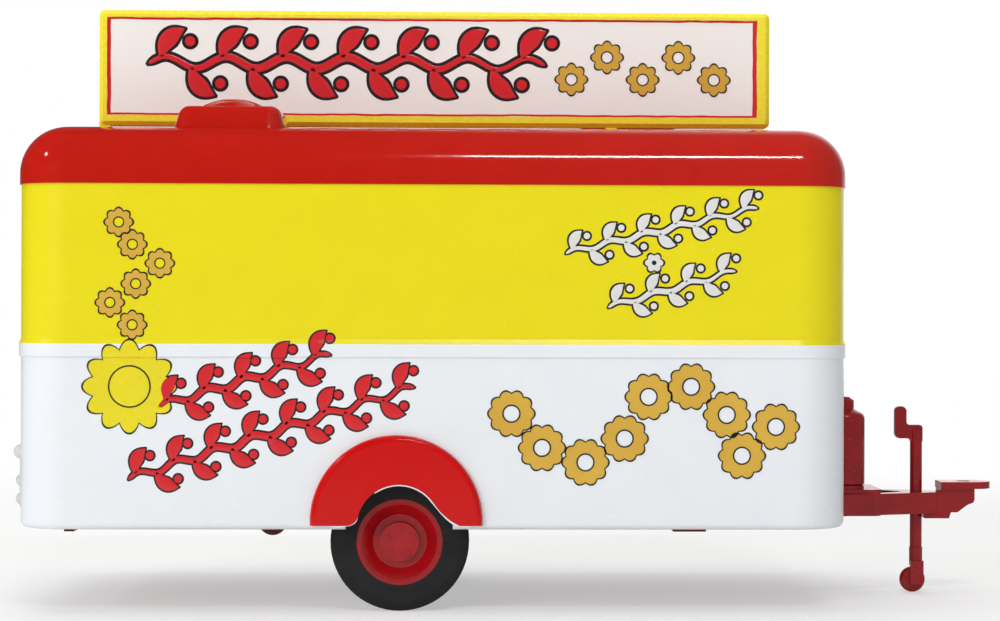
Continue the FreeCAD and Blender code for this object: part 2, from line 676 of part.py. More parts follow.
# Roof sign: a frame on three feet round a sunk panel
SIGN_TOP = "(sign_z + sign_height)"
PANEL = oblong(
    "(-sign_length / 2 + border_rear)", "(sign_length / 2 - border_front)",
    "(sign_z + border_foot)", f"({SIGN_TOP} - border_top)",
)
BOARD = rounded(
    "(sign_length / 2)", "(sign_height / 2)", "sign_corner", "0", "(sign_z + sign_height / 2)"
)
frame = new_body("sign_block", "sign_x", keep=False)
pad(frame, "XZ", [BOARD], "0", "sign_thick")
SIGN_FACE = "(sign_thick / 2)"
chamfer(frame, "sign_bevel", "sign_bevel", lambda edge: (
    level("Y", SIGN_FACE)(edge) or level("Y", f"-{SIGN_FACE}")(edge)
))
for foot_x in ("-(foot_rear)", "-(foot_inner)", "foot_inner"):
    foot = oblong(
        f"({foot_x} - foot_length / 2)", f"({foot_x} + foot_length / 2)",
        "(roof_z - roof_rise)", "(sign_z + border_foot / 2)",
    )
    pad(frame, "XZ", [foot], "0", "foot_depth")
pocket(frame, "XZ", [PANEL], "0", "sign_thick + 1")
cut_to_crown("sign_frame", frame)
panel = new_body("sign_panel", "sign_x")
pad(panel, "XZ", [PANEL], "0", "sign_thick - 2 * panel_sunk")

# Half-moon fenders round the wheel openings
SIDES = [
    # side, sign
    ("right", "-1"),
    ("left", "1"),
]
FENDER_REACH = "sqrt(fender_radius^2 - (fender_z - fender_foot)^2)"
SHOULDER_X = "(wheel_x + sqrt(arch_radius^2 - arch_shoulder^2))"
HEEL_X = "(wheel_x - sqrt(arch_radius^2 - arch_heel^2))"
for side, sign in SIDES:
    fender = new_body(f"wheel_arch_{side}")
    face = f"{sign} * (body_width / 2 + fender_proud / 2)"
    half_moon = [
        (f"(fender_x - {FENDER_REACH})", "fender_foot"),
        (f"(fender_x + {FENDER_REACH})", "fender_foot", "fender_radius", 1),
        ("fender_x", "(fender_z + fender_radius)", "fender_radius", 1),
    ]
    pad(fender, "XZ", [half_moon], face, "fender_proud")
    outer = level("Y", f"{sign} * (body_width / 2 + fender_proud)")
    fillet(fender, "fender_round", lambda edge: (
        outer(edge) and edge.BoundBox.ZMax > value_of("fender_foot") + 0.1
    ))
    opening = [
        ("(wheel_x - arch_rear)", "(fender_foot - 1)"),
        ("(wheel_x + arch_front)", "(fender_foot - 1)"),
        ("(wheel_x + arch_front)", "fender_foot", "arch_sweep", -1),
        (SHOULDER_X, "(arch_z + arch_shoulder)", "arch_radius", 1),
        ("wheel_x", "(arch_z + arch_radius)", "arch_radius", 1),
        (HEEL_X, "(arch_z + arch_heel)", "arch_tuck", -1),
        ("(wheel_x - arch_rear)", "fender_foot"),
    ]
    pocket(fender, "XZ", [opening], face, "3 * fender_proud")

# Rear lamps: three domes on a thin carrier
LAMPS = [
    # height, radius, reach
    ("lamp_z", "lamp_radius", "lamp_reach"),
    ("middle_lamp_z", "small_radius", "small_reach"),
    ("foot_lamp_z", "small_radius", "small_reach"),
]
for side, sign in SIDES:
    carrier = new_body(f"lamp_carrier_{side}", keep=False)
    strip = rounded(
        "plate_half", "((lamp_z - foot_lamp_z) / 2 + plate_half)", "(plate_half * 0.8)",
        f"({sign} * lamp_y)", "((lamp_z + foot_lamp_z) / 2)",
    )
    pad(carrier, "YZ", [strip], f"({REAR} - plate_thick / 2)", "plate_thick")
    parts = [carrier]
    for height, radius, reach in LAMPS:
        barrel = doc.addObject("Part::Cylinder", f"lamp_barrel_{side}")
        barrel.setExpression("Radius", sized(radius))
        barrel.setExpression("Height", sized(f"{reach} - {radius}"))
        barrel.Placement.Rotation = FreeCAD.Rotation(V(0, 1, 0), -90)
        place(barrel, REAR, f"{sign} * lamp_y", height)
        dome = doc.addObject("Part::Sphere", f"lamp_dome_{side}")
        dome.setExpression("Radius", sized(radius))
        dome.Angle1 = 0
        dome.Placement.Rotation = FreeCAD.Rotation(V(0, 1, 0), -90)
        place(dome, f"({REAR} - {reach} + {radius})", f"{sign} * lamp_y", height)
        parts += [barrel, dome]
    lamps = doc.addObject("Part::MultiFuse", f"rear_lamps_{side}")
    lamps.Label = f"rear_lamps_{side}"
    lamps.Shapes = parts
    lamps.Refine = True
    pieces.append(lamps)
doc.recompute()

# Rear door, moulded in relief over the belt bead
DOOR_Z = "((door_foot + door_head) / 2)"
door = new_body("rear_door")
DOOR_HALF = "((door_head - door_foot) / 2)"
leaf = rounded("(door_width / 2)", DOOR_HALF, "door_corner", "0", DOOR_Z)
pad(door, "YZ", [leaf], f"({REAR} - door_proud / 2)", "door_proud")
notch = oblong(
    "-door_width", "door_width", "(belt_z - bead_height)", "(belt_z + flare_height)"
)
pocket(door, "YZ", [notch], REAR, "2 * (bead_proud + door_gap)")
PANES = [
    # lower edge, upper edge
    ("(door_foot + pane_border)", "(belt_z - bead_height - pane_border)"),
    ("(belt_z + flare_height + pane_border)", "(door_head - pane_border)"),
]
for pane_foot, pane_head in PANES:
    pane = rounded(
        "(door_width / 2 - pane_border)", f"(({pane_head} - {pane_foot}) / 2)", "door_corner", "0",
        f"(({pane_head} + {pane_foot}) / 2)",
    )
    pocket(door, "YZ", [pane], f"({REAR} - door_proud)", "2 * pane_sunk")
handle = new_body("door_handle")
bar = rounded(
    "(handle_length / 2)", "(handle_width / 2)", "(handle_width * 0.45)",
    "(door_width / 2 - pane_border - handle_length / 2)", "handle_z",
)
pad(handle, "YZ", [bar], f"({REAR} - door_proud - handle_proud / 2)", "handle_proud")

# Base plate with its wheel slots, between the walls
base = new_body("base_plate")
pad(base, "XY", [CAVITY], *between(BASE_FOOT, BASE_TOP))
SLOT_REAR, SLOT_FRONT = "(wheel_x - slot_half)", "(wheel_x + slot_half)"
for side, sign in SIDES:
    slot = oblong(SLOT_REAR, SLOT_FRONT, *(
        (f"-{SIDE} - 1", "-slot_inner") if side == "right" else ("slot_inner", f"{SIDE} + 1")
    ))
    pocket(base, "XY", [slot], BASE_FOOT, "4 * base_thick")

# Chassis under the base plate: two rails, cross-members and rounded spring hangers
chassis = new_body("chassis_frame")
MEMBERS = [
    # middle, length
    ("(-body_length / 2 + rear_set)", "rear_member"),
    ("(body_length / 2 - front_set)", "front_member"),
]
for sign in ("-1", "1"):
    rail = oblong(
        "(-body_length / 2 + rail_end)", "(body_length / 2 - rail_end)",
        f"({sign} * rail_y - rail_width / 2)", f"({sign} * rail_y + rail_width / 2)",
    )
    pad(chassis, "XY", [rail], *between("rail_foot", BASE_FOOT))
for middle, length in MEMBERS:
    member = oblong(
        f"({middle} - {length} / 2)", f"({middle} + {length} / 2)",
        "(-rail_y - member_out)", "(rail_y + member_out)",
    )
    pad(chassis, "XY", [member], *between("(rail_foot - member_drop)", BASE_FOOT))
for sign in ("-1", "1"):
    hanger = [
        ("(hanger_x - hanger_half)", BASE_FOOT),
        ("(hanger_x - hanger_half)", f"({BASE_FOOT} - hanger_depth)", "hanger_round", 1),
        ("(hanger_x + hanger_half)", f"({BASE_FOOT} - hanger_depth)"),
        ("(hanger_x + hanger_half)", BASE_FOOT),
    ]
    pad(chassis, "XZ", [hanger], f"{sign} * rail_y", "rail_width")

# Axle bearings below the base plate
for side, sign in SIDES:
    bearing = new_body(f"axle_bearing_{side}", "wheel_x")
    foot = "(wheel_z - bearing_half)"
    eye = "bearing_half"
    block = [
        ("-bearing_half", BASE_FOOT),
        ("-bearing_half", "wheel_z", eye, 1),
        ("0", foot, eye, 1),
        ("bearing_half", "wheel_z"),
        ("bearing_half", BASE_FOOT),
    ]
    bore = ("0", "wheel_z", "(axle_radius + axle_gap)")
    pad(bearing, "XZ", [block, bore], f"({sign} * bearing_y)", "bearing_width")

# Wheelset: both wheels pressed on one axle, built about the axle's own line
HUB_FACE = "(tyre_face - hub_sunk)"
CORNER = "((tyre_round - tyre_bulge) / 2)"
axle = new_body("axle", "wheel_x", "0", "wheel_z")
pad(axle, "XZ", [("0", "0", "axle_radius")], "0", f"2 * ({HUB_FACE} - axle_seat)")
for side, sign in SIDES:
    tyre = new_body(f"tyre_{side}", "wheel_x", "0", "wheel_z")
    TREAD = [
        # depth behind the tyre's face, radius
        ("tyre_width", "hub_radius"),
        ("0", "hub_radius"),
        ("0", "(tyre_radius - tyre_round)"),
        (CORNER, f"(tyre_radius - {CORNER})"),
        ("tyre_round", "tyre_radius"),
        ("(tyre_width - tyre_round)", "tyre_radius"),
        (f"(tyre_width - {CORNER})", f"(tyre_radius - {CORNER})"),
        ("tyre_width", "(tyre_radius - tyre_round)"),
    ]
    half = [(f"({sign} * (tyre_face - {depth}))", radius) for depth, radius in TREAD]
    turned(tyre, "YZ", half, "Y")
    hub = new_body(f"hub_{side}", "wheel_x", "0", "wheel_z")
    RIM = [
        # depth behind the hub's face, radius
        ("0", "hub_radius"),
        ("0", "lip_radius"),
        ("step_depth", "lip_radius"),
        ("step_depth", "(lip_radius - step_width)"),
        ("well_depth", "well_radius"),
        ("well_depth", "boss_radius"),
        ("boss_depth", "boss_radius"),
        ("boss_depth", "0"),
        ("axle_seat", "0"),
        ("axle_seat", "axle_radius"),
        ("(tyre_width - hub_back)", "axle_radius"),
        ("(tyre_width - hub_back)", "hub_radius"),
    ]
    section = [(f"({sign} * ({HUB_FACE} - {depth}))", radius) for depth, radius in RIM]
    turned(hub, "YZ", section, "Y")
    nut_face = f"({sign} * ({HUB_FACE} - boss_depth + nut_proud / 2))"
    nut = pad(hub, "XZ", [("0", "nut_circle", "nut_radius")], nut_face, "1.2 * nut_proud")
    ring = hub.newObject("PartDesign::PolarPattern", f"{hub.Label}_nuts")
    ring.Originals = [nut]
    ring.Axis = (origin_item(hub, "Y_Axis"), [""])
    ring.Angle = 360
    ring.setExpression("Occurrences", sized("nut_count"))
    hub.Tip = ring
    doc.recompute()

# Serving hatch, hinged along its top on two pins
flap = new_body("hatch_flap")
FLAP_LENGTH = "(hatch_length - 2 * hatch_gap)"
FLAP_FOOT = "(opening_foot + hatch_gap)"
FLAP_BACK = "(body_width / 2 - flap_thick)"
BACK_RISE = "sqrt(knuckle_radius^2 - (flap_thick - knuckle_radius)^2)"
profile = [
    (FLAP_BACK, FLAP_FOOT),
    (SIDE, FLAP_FOOT),
    (SIDE, HINGE_Z, "knuckle_radius", 1),
    (HINGE_Y, f"({HINGE_Z} + knuckle_radius)", "knuckle_radius", 1),
    (FLAP_BACK, f"({HINGE_Z} + {BACK_RISE})"),
]
pad(flap, "YZ", [profile], "hatch_x", FLAP_LENGTH)
pad(flap, "YZ", [(HINGE_Y, HINGE_Z, "pin_radius")], "hatch_x", PIN_SPAN)
sunk = oblong(
    "(hatch_x - hatch_length / 2 + hatch_gap + flap_border)",
    "(hatch_x + hatch_length / 2 - hatch_gap - flap_border)",
    f"({FLAP_FOOT} + flap_border)", f"({HINGE_Z} - flap_border / 2)",
)
pocket(flap, "XZ", [sunk], SIDE, "2 * flap_sunk")
pull = new_body("hatch_pull")
grip = rounded(
    "(pull_length / 2)", "(pull_height / 2)", "(pull_height * 0.4)", "hatch_x",
    f"({FLAP_FOOT} + flap_border + pull_gap + pull_height / 2)",
)
pad(pull, "XZ", [grip], f"({SIDE} - flap_sunk + pull_proud / 2)", "pull_proud")

# Inner floor with a box over each wheel
cabin = new_body("inner_floor")
pad(cabin, "XY", [CAVITY], *between(BASE_TOP, FLOOR_TOP))
for side, sign in SIDES:
    y_low = "slot_inner - box_wall" if side == "left" else f"-{INNER_Y}"
    y_high = INNER_Y if side == "left" else "-slot_inner + box_wall"
    shell = oblong(f"({SLOT_REAR} - box_wall)", f"({SLOT_FRONT} + box_wall)", y_low, y_high)
    pad(cabin, "XY", [shell], *between(BASE_TOP, BOX_TOP))
for side, sign in SIDES:
    y_low = "slot_inner" if side == "left" else f"-{SIDE}"
    y_high = SIDE if side == "left" else "-slot_inner"
    hollow = oblong(SLOT_REAR, SLOT_FRONT, y_low, y_high)
    pocket(cabin, "XY", [hollow], *between(f"{BASE_TOP} - 1", f"{BOX_TOP} - box_wall"))

# Counter under the hatch, on two end panels
counter = new_body("serving_counter")
top = oblong("-counter_half", "counter_half", f"({INNER_Y} - counter_depth)", INNER_Y)
pad(counter, "XY", [top], *between("counter_z - counter_thick", "counter_z"))
for sign in ("-1", "1"):
    middle = f"({sign} * (counter_half - counter_thick / 2))"
    stand = oblong(
        f"({INNER_Y} - counter_depth)", INNER_Y, FLOOR_TOP, "(counter_z - counter_thick / 2)"
    )
    pad(counter, "YZ", [stand], middle, "counter_thick")

# Bench along the other wall, on the wheel box and two end panels, with the fryer
bench = new_body("rear_bench")
top = oblong("-bench_half", "bench_half", f"-{INNER_Y}", f"(bench_depth - {INNER_Y})")
pad(bench, "XY", [top], *between("bench_z - counter_thick", "bench_z"))
for sign in ("-1", "1"):
    middle = f"({sign} * (bench_half - counter_thick / 2))"
    stand = oblong(
        f"-{INNER_Y}", f"(bench_depth - {INNER_Y})", FLOOR_TOP, "(bench_z - counter_thick / 2)"
    )
    pad(bench, "YZ", [stand], middle, "counter_thick")
fryer = new_body("fryer")
FRYER_Y = "(bench_depth / 2 - body_width / 2 + wall_thick)"
shell = rounded("(fryer_length / 2)", "(fryer_depth / 2)", "fryer_round", "fryer_x", FRYER_Y)
pad(fryer, "XY", [shell], *between("bench_z", "bench_z + fryer_height"))
for sign in ("-1", "1"):
    kettle = (f"(fryer_x + {sign} * fryer_length / 4)", FRYER_Y, "kettle_radius")
    pocket(fryer, "XY", [kettle], "bench_z + fryer_height", "2 * kettle_depth")

# Drawbar: a bottle tray and two arms that meet at the nose
drawbar = new_body("drawbar")
tray = [
    (FRONT, "-tray_half"),
    (f"({FRONT} + tray_reach - tray_corner)", "-tray_half", "tray_corner", 1),
    (f"({FRONT} + tray_reach)", "(-tray_half + tray_corner)"),
    (f"({FRONT} + tray_reach)", "(tray_half - tray_corner)", "tray_corner", 1),
    (f"({FRONT} + tray_reach - tray_corner)", "tray_half"),
    (FRONT, "tray_half"),
]
pad(drawbar, "XY", [tray], *between("tray_foot", "tray_top"))
spread = [
    (FRONT, "-arm_half"),
    (f"({FRONT} + nose_reach)", "-nose_half"),
    (f"({FRONT} + nose_reach)", "nose_half"),
    (FRONT, "arm_half"),
]
pad(drawbar, "XY", [spread], *between("arm_foot", "arm_top"))
ARM_SLOPE = "((arm_half - nose_half) / nose_reach)"
GAP_HALF = f"({ARM_SLOPE} * (nose_reach - tray_reach) + nose_half - arm_width)"
gap = [
    (f"({FRONT} + tray_reach)", f"-{GAP_HALF}"),
    (f"({FRONT} + nose_web)", "-web_half"),
    (f"({FRONT} + nose_web)", "web_half"),
    (f"({FRONT} + tray_reach)", GAP_HALF),
]
pocket(drawbar, "XY", [gap], "arm_foot", "4 * (arm_top - arm_foot)")
for sign in ("-1", "1"):
    seat = (f"({FRONT} + bottle_x)", f"({sign} * bottle_y)", "(bottle_radius * 0.98)")
    pad(drawbar, "XY", [seat], *between("arm_top", "bottle_foot"))
JACK = (f"({FRONT} + jack_x)", "0", "jack_radius")
pocket(drawbar, "XY", [JACK], "arm_foot", "4 * (arm_top - arm_foot)")

# Gas bottles, each turned about its own line
for side, sign in SIDES:
    bottle = new_body(f"gas_bottle_{side}", f"({FRONT} + bottle_x)", f"({sign} * bottle_y)")
    half = [
        ("0", "bottle_foot"),
        ("(bottle_radius - bottle_edge)", "bottle_foot"),
        ("bottle_radius", "(bottle_foot + bottle_edge)"),
        ("bottle_radius", "bottle_shoulder", "bottle_round", 1),
        ("(bottle_radius - 0.6 * bottle_round)", "(bottle_shoulder + 0.9 * bottle_round)"),
        ("collar_radius", "bottle_neck"),
        ("collar_radius", "collar_top"),
        ("cap_radius", "bottle_top"),
        ("0", "bottle_top"),
    ]
    turned(bottle, "XZ", half, "Z")

# Jack: post with its crank, and a wheel on a one-sided fork
jack = new_body("jack_post", f"({FRONT} + jack_x)")
half = [
    ("0", "tube_foot"),
    ("tube_radius", "tube_foot"),
    ("tube_radius", "jack_foot"),
    ("jack_radius", "(jack_foot + tube_radius - jack_radius)"),
    ("jack_radius", "(jack_top - jack_round)"),
    ("0", "(jack_top - jack_round)"),
]
turned(jack, "XZ", half, "Z")
CRANK_REAR = "(crank_reach - jack_x)"
GRIP_FRONT = "(crank_reach - jack_x + grip_width)"
crank = [
    (f"({CRANK_REAR} + grip_round)", "crank_foot"),
    ("(-jack_radius - crank_bend)", "crank_foot", "crank_bend", -1),
    ("-jack_radius", "(crank_foot - crank_bend)"),
    ("jack_radius", "(crank_foot - crank_bend)"),
    ("jack_radius", "(jack_top - jack_round)", "jack_round", 1),
    ("(jack_radius - jack_round)", "jack_top"),
    (f"({GRIP_FRONT} + crank_bend)", "jack_top", "crank_bend", -1),
    (GRIP_FRONT, "(jack_top + crank_bend)"),
    (GRIP_FRONT, "(grip_top - grip_round)", "grip_round", 1),
    (f"({GRIP_FRONT} - grip_round)", "grip_top"),
    (f"({CRANK_REAR} + grip_round)", "grip_top", "grip_round", 1),
    (CRANK_REAR, "(grip_top - grip_round)"),
    (CRANK_REAR, "(crank_foot + grip_round)", "grip_round", 1),
]
pad(jack, "XZ", [crank], "0", "crank_width")
FORK_Y = "(-jockey_width / 2 - fork_thick / 2)"
fork = oblong(
    "-tube_radius", "tube_radius",
    "fork_foot", "(tube_foot + tube_length / 4)",
)
pad(jack, "XZ", [fork], FORK_Y, "fork_thick")
jockey = new_body("jack_wheel", f"({FRONT} + jockey_x)", "0", "jockey_radius")
pad(jockey, "XZ", [("0", "0", "jockey_radius")], "0", "jockey_width")
chamfer(jockey, "jockey_round", "jockey_round", lambda edge: (
    edge.Curve.TypeId == "Part::GeomCircle"
))

# Coupler under its tow plate, with the eye through both
coupler = new_body("coupler", FRONT)
side_view = [
    ("coupler_rear", "coupler_foot"),
    ("coupler_lug", "coupler_foot"),
    ("(coupler_lug + lug_slant)", "coupler_step"),
    ("(coupler_reach - belly_end)", "coupler_step"),
    ("(coupler_reach - throat_end)", "throat_z"),
    ("(coupler_reach - chin_round)", "chin_z", "chin_round", 1),
    ("coupler_reach", "(chin_z + chin_round)"),
    ("coupler_reach", "(tow_foot + tow_thick / 2)"),
    ("tow_rear", "(tow_foot + tow_thick / 2)"),
    ("tow_rear", "arm_top"),
    ("nose_reach", "arm_top"),
    ("nose_reach", "arm_foot"),
    ("coupler_rear", "arm_foot"),
]
pad(coupler, "XZ", [side_view], "0", "2 * coupler_half")
plate = [
    ("tow_rear", "-tow_half"),
    ("(tow_reach - tow_half)", "-tow_half", "tow_half", 1),
    ("tow_reach", "0", "tow_half", 1),
    ("(tow_reach - tow_half)", "tow_half"),
    ("tow_rear", "tow_half"),
]
pad(coupler, "XY", [plate], *between("tow_foot", "tow_top"))
pocket(coupler, "XY", [("eye_x", "0", "eye_radius")], "tow_foot", "8")

# Every object must be sound before anything is written
doc.recompute()
for item in doc.Objects:
    if {"Invalid", "Error"} & set(item.State):
        raise RuntimeError(f"{item.Label} failed")
for piece in pieces:
    if piece.Shape.isNull() or not piece.Shape.isValid() or len(piece.Shape.Solids) != 1:
        raise RuntimeError(f"{piece.Label} isn't one sound solid")
for piece in pieces:
    piece.Shape.exportStep(f"parts/{piece.Label}.step")
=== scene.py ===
"""Looks of a small cast concession trailer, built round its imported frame.

Metres, +Z up, +X towards the drawbar. The printed side that the camera sees is at -Y and
the serving side at +Y. Sizes in the classes are millimetres, as a model maker writes them.
"""

import logging
import math
from dataclasses import dataclass, field
from enum import Enum

import bmesh
import bpy
from mathutils import Matrix, Vector, noise


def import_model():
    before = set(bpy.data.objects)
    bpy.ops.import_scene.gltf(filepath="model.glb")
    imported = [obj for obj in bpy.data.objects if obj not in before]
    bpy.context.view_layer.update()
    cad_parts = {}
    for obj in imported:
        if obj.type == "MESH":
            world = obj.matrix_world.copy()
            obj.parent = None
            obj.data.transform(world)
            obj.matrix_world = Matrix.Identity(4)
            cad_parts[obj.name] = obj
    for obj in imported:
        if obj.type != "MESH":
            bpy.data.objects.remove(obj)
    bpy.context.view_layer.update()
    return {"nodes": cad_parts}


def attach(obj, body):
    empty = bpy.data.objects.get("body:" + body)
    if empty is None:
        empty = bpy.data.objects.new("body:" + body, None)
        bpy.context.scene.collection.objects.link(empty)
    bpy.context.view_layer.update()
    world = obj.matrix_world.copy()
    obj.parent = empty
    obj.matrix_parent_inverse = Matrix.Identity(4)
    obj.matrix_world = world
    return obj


LOG = logging.getLogger("trailer")
MM = 0.001
BODY = "trailer"
WELD = 1e-5  # mm, points nearer than this are one
SHARP = math.radians(35)  # edges that turn by more stay sharp

NOISE_RANGE = (0.3, 0.7)  # where most of a noise's values lie
CLOUD_DETAIL = 2.0
SPECK_DETAIL = 6.0
CLOUD_SHARE = 6.0  # the slow noise's height over the fine one's

Point = tuple[float, float]
Stroke = list[tuple[float, float, float]]


# Finishes


@dataclass(frozen=True)
class Finish:
    """How one paint, plastic, ink or metal looks, with its fine variation."""

    name: str
    slot: str
    colour: tuple[float, float, float]
    shade: tuple[float, float, float]
    rough: tuple[float, float] = (0.18, 0.28)
    cloud: float = 3.0
    speck: float = 0.35
    relief: float = 0.0006
    metallic: float = 0.0
    gloss: float = 0.5

    def material(self) -> bpy.types.Material:
        """Build the finish's material once and hand it back afterwards.

        Returns:
            The material, with its colour, roughness and relief from noise in the
            object's own coordinates.
        """
        found = bpy.data.materials.get(self.name)
        if found:
            return found
        made = bpy.data.materials.new(self.name)
        made.use_nodes = True
        tree = made.node_tree
        shader = tree.nodes["Principled BSDF"]
        shader.inputs["Metallic"].default_value = self.metallic
        shader.inputs["Specular IOR Level"].default_value = self.gloss
        place = tree.nodes.new("ShaderNodeTexCoord").outputs["Object"]
        clouds = self._noise(tree, place, self.cloud, CLOUD_DETAIL)
        specks = self._noise(tree, place, self.speck, SPECK_DETAIL)
        mix = tree.nodes.new("ShaderNodeMix")
        mix.data_type = "RGBA"
        mix.inputs[6].default_value = (*self.colour, 1.0)
        mix.inputs[7].default_value = (*self.shade, 1.0)
        tree.links.new(self._spread(tree, clouds, 0.0, 1.0), mix.inputs[0])
        tree.links.new(mix.outputs[2], shader.inputs["Base Color"])
        tree.links.new(self._spread(tree, specks, *self.rough), shader.inputs["Roughness"])
        bump = tree.nodes.new("ShaderNodeBump")
        bump.inputs["Strength"].default_value = 1.0
        bump.inputs["Distance"].default_value = self.relief * MM
        tree.links.new(self._relief(tree, place, clouds, specks), bump.inputs["Height"])
        tree.links.new(bump.outputs["Normal"], shader.inputs["Normal"])
        return made

    def _noise(
        self,
        tree: bpy.types.NodeTree,
        place: bpy.types.NodeSocket,
        wave: float,
        detail: float,
    ) -> bpy.types.NodeSocket:
        """Add a noise whose features are about wave millimetres across.

        Returns:
            The noise's value.
        """
        node = tree.nodes.new("ShaderNodeTexNoise")
        node.inputs["Scale"].default_value = 1.0 / (wave * MM)
        node.inputs["Detail"].default_value = detail
        tree.links.new(place, node.inputs["Vector"])
        return node.outputs["Fac"]

    def _spread(
        self,
        tree: bpy.types.NodeTree,
        source: bpy.types.NodeSocket,
        low: float,
        high: float,
    ) -> bpy.types.NodeSocket:
        """Stretch a noise's middle range over low to high.

        Returns:
            The stretched value.
        """
        node = tree.nodes.new("ShaderNodeMapRange")
        node.inputs["From Min"].default_value = NOISE_RANGE[0]
        node.inputs["From Max"].default_value = NOISE_RANGE[1]
        node.inputs["To Min"].default_value = low
        node.inputs["To Max"].default_value = high
        tree.links.new(source, node.inputs["Value"])
        return node.outputs["Result"]

    def _relief(
        self,
        tree: bpy.types.NodeTree,
        place: bpy.types.NodeSocket,
        clouds: bpy.types.NodeSocket,
        specks: bpy.types.NodeSocket,
    ) -> bpy.types.NodeSocket:
        """Join a slow and a fine noise into the surface's height.

        Returns:
            The height, for a bump.
        """
        node = tree.nodes.new("ShaderNodeMath")
        node.operation = "MULTIPLY_ADD"
        tree.links.new(clouds, node.inputs[0])
        node.inputs[1].default_value = CLOUD_SHARE
        tree.links.new(specks, node.inputs[2])
        return node.outputs["Value"]


WHITE = Finish("cast_white_paint", "cast_white", (0.865, 0.90, 0.935), (0.845, 0.88, 0.92))
YELLOW = Finish("cast_yellow_paint", "cast_yellow", (0.875, 0.755, 0.006), (0.85, 0.73, 0.006))
RED = Finish(
    "cast_red_paint", "cast_red", (0.54, 0.013, 0.007), (0.51, 0.012, 0.006), rough=(0.06, 0.1),
    cloud=1.6, relief=0.0012,
)
# The roof's red paint again, its colour changed for the fender alone to stand in for how light falls
# there: painted light.
RELIT_FENDER_RED = Finish(
    "cast_red_relit_for_fender", "cast_red", (0.62, 0.005, 0.004), (0.59, 0.004, 0.003), rough=(0.1, 0.16),
    cloud=1.6, relief=0.0008, gloss=0.35,
)
MOULDED_RED = Finish(
    "moulded_dark_red", "red_plastic", (0.36, 0.009, 0.013), (0.29, 0.007, 0.010),
    rough=(0.18, 0.28), cloud=1.2, relief=0.0005, gloss=0.45,
)
UNDER_RED = Finish(
    "moulded_under_red", "dark_red_plastic", (0.20, 0.014, 0.016), (0.15, 0.011, 0.013),
    rough=(0.45, 0.6), cloud=1.5, relief=0.0015,
)
SIGN_YELLOW = Finish(
    "moulded_sign_yellow", "sign_yellow", (0.98, 0.87, 0.045), (0.97, 0.84, 0.04),
    rough=(0.2, 0.32), cloud=1.4, relief=0.0012,
)
SIGN_WHITE = Finish(
    "printed_sign_white", "sign_white", (0.97, 0.98, 0.94), (0.95, 0.96, 0.92), rough=(0.3, 0.4)
)
LAMP = Finish("moulded_lamp_white", "lamp_white", (0.72, 0.72, 0.70), (0.67, 0.67, 0.66))
SILVER = Finish(
    "silver_paint", "silver_paint", (0.60, 0.61, 0.62), (0.50, 0.51, 0.53), rough=(0.25, 0.4),
    metallic=0.8, cloud=0.6,
)
GREY = Finish(
    "moulded_grey", "grey_plastic", (0.40, 0.41, 0.43), (0.35, 0.36, 0.38), rough=(0.4, 0.55)
)
CREAM = Finish(
    "moulded_cream", "cream_plastic", (0.76, 0.73, 0.66), (0.72, 0.69, 0.62), rough=(0.32, 0.45)
)
HUB = Finish(
    "moulded_hub_red", "hub_red", (0.44, 0.006, 0.010), (0.37, 0.005, 0.008), rough=(0.1, 0.16),
    cloud=1.0, relief=0.0006,
)
TYRE = Finish(
    "tyre_rubber", "tyre_black", (0.020, 0.021, 0.023), (0.016, 0.017, 0.019), rough=(0.62, 0.8),
    cloud=1.2, speck=0.12, relief=0.002, gloss=0.3,
)
STEEL = Finish(
    "axle_steel", "axle_steel", (0.56, 0.56, 0.57), (0.48, 0.48, 0.50), rough=(0.22, 0.35),
    metallic=1.0, cloud=0.5,
)
INK_RED = Finish(
    "ink_red", "cast_red", (0.70, 0.022, 0.029), (0.66, 0.020, 0.026), rough=(0.2, 0.26),
    speck=0.2, relief=0.0003,
)
INK_BLACK = Finish(
    "ink_black", "tyre_black", (0.014, 0.012, 0.014), (0.022, 0.018, 0.020), rough=(0.25, 0.4),
    speck=0.2,
)
INK_GOLD = Finish(
    "ink_gold", "sign_yellow", (0.73, 0.45, 0.055), (0.68, 0.40, 0.045), rough=(0.3, 0.42),
    speck=0.2,
)
INK_YELLOW = Finish(
    "ink_yellow", "cast_yellow", (0.87, 0.74, 0.013), (0.82, 0.69, 0.012), rough=(0.25, 0.35)
)
INK_WHITE = Finish(
    "ink_white", "cast_white", (0.80, 0.79, 0.76), (0.75, 0.74, 0.72), rough=(0.25, 0.35)
)

NODE_FINISHES: dict[str, Finish] = {
    "lower_body": WHITE,
    "upper_body": YELLOW,
    "roof_cap": RED,
    "roof_vent_rear": RED,
    "roof_vent_front": RED,
    "sign_frame": SIGN_YELLOW,
    "sign_panel": SIGN_WHITE,
    "wheel_arch_right": RELIT_FENDER_RED,
    "wheel_arch_left": RELIT_FENDER_RED,
    "rear_lamps_right": LAMP,
    "rear_lamps_left": LAMP,
    "rear_door": WHITE,
    "door_handle": SILVER,
    "base_plate": UNDER_RED,
    "chassis_frame": UNDER_RED,
    "axle_bearing_right": UNDER_RED,
    "axle_bearing_left": UNDER_RED,
    "inner_floor": GREY,
    "serving_counter": CREAM,
    "rear_bench": CREAM,
    "fryer": SILVER,
    "drawbar": MOULDED_RED,
    "gas_bottle_right": MOULDED_RED,
    "gas_bottle_left": MOULDED_RED,
    "jack_post": MOULDED_RED,
    "jack_wheel": MOULDED_RED,
    "coupler": MOULDED_RED,
    "axle": STEEL,
    "tyre_right": TYRE,
    "tyre_left": TYRE,
    "hub_right": HUB,
    "hub_left": HUB,
    "hatch_flap": YELLOW,
    "hatch_pull": SILVER,
}


# Helpers


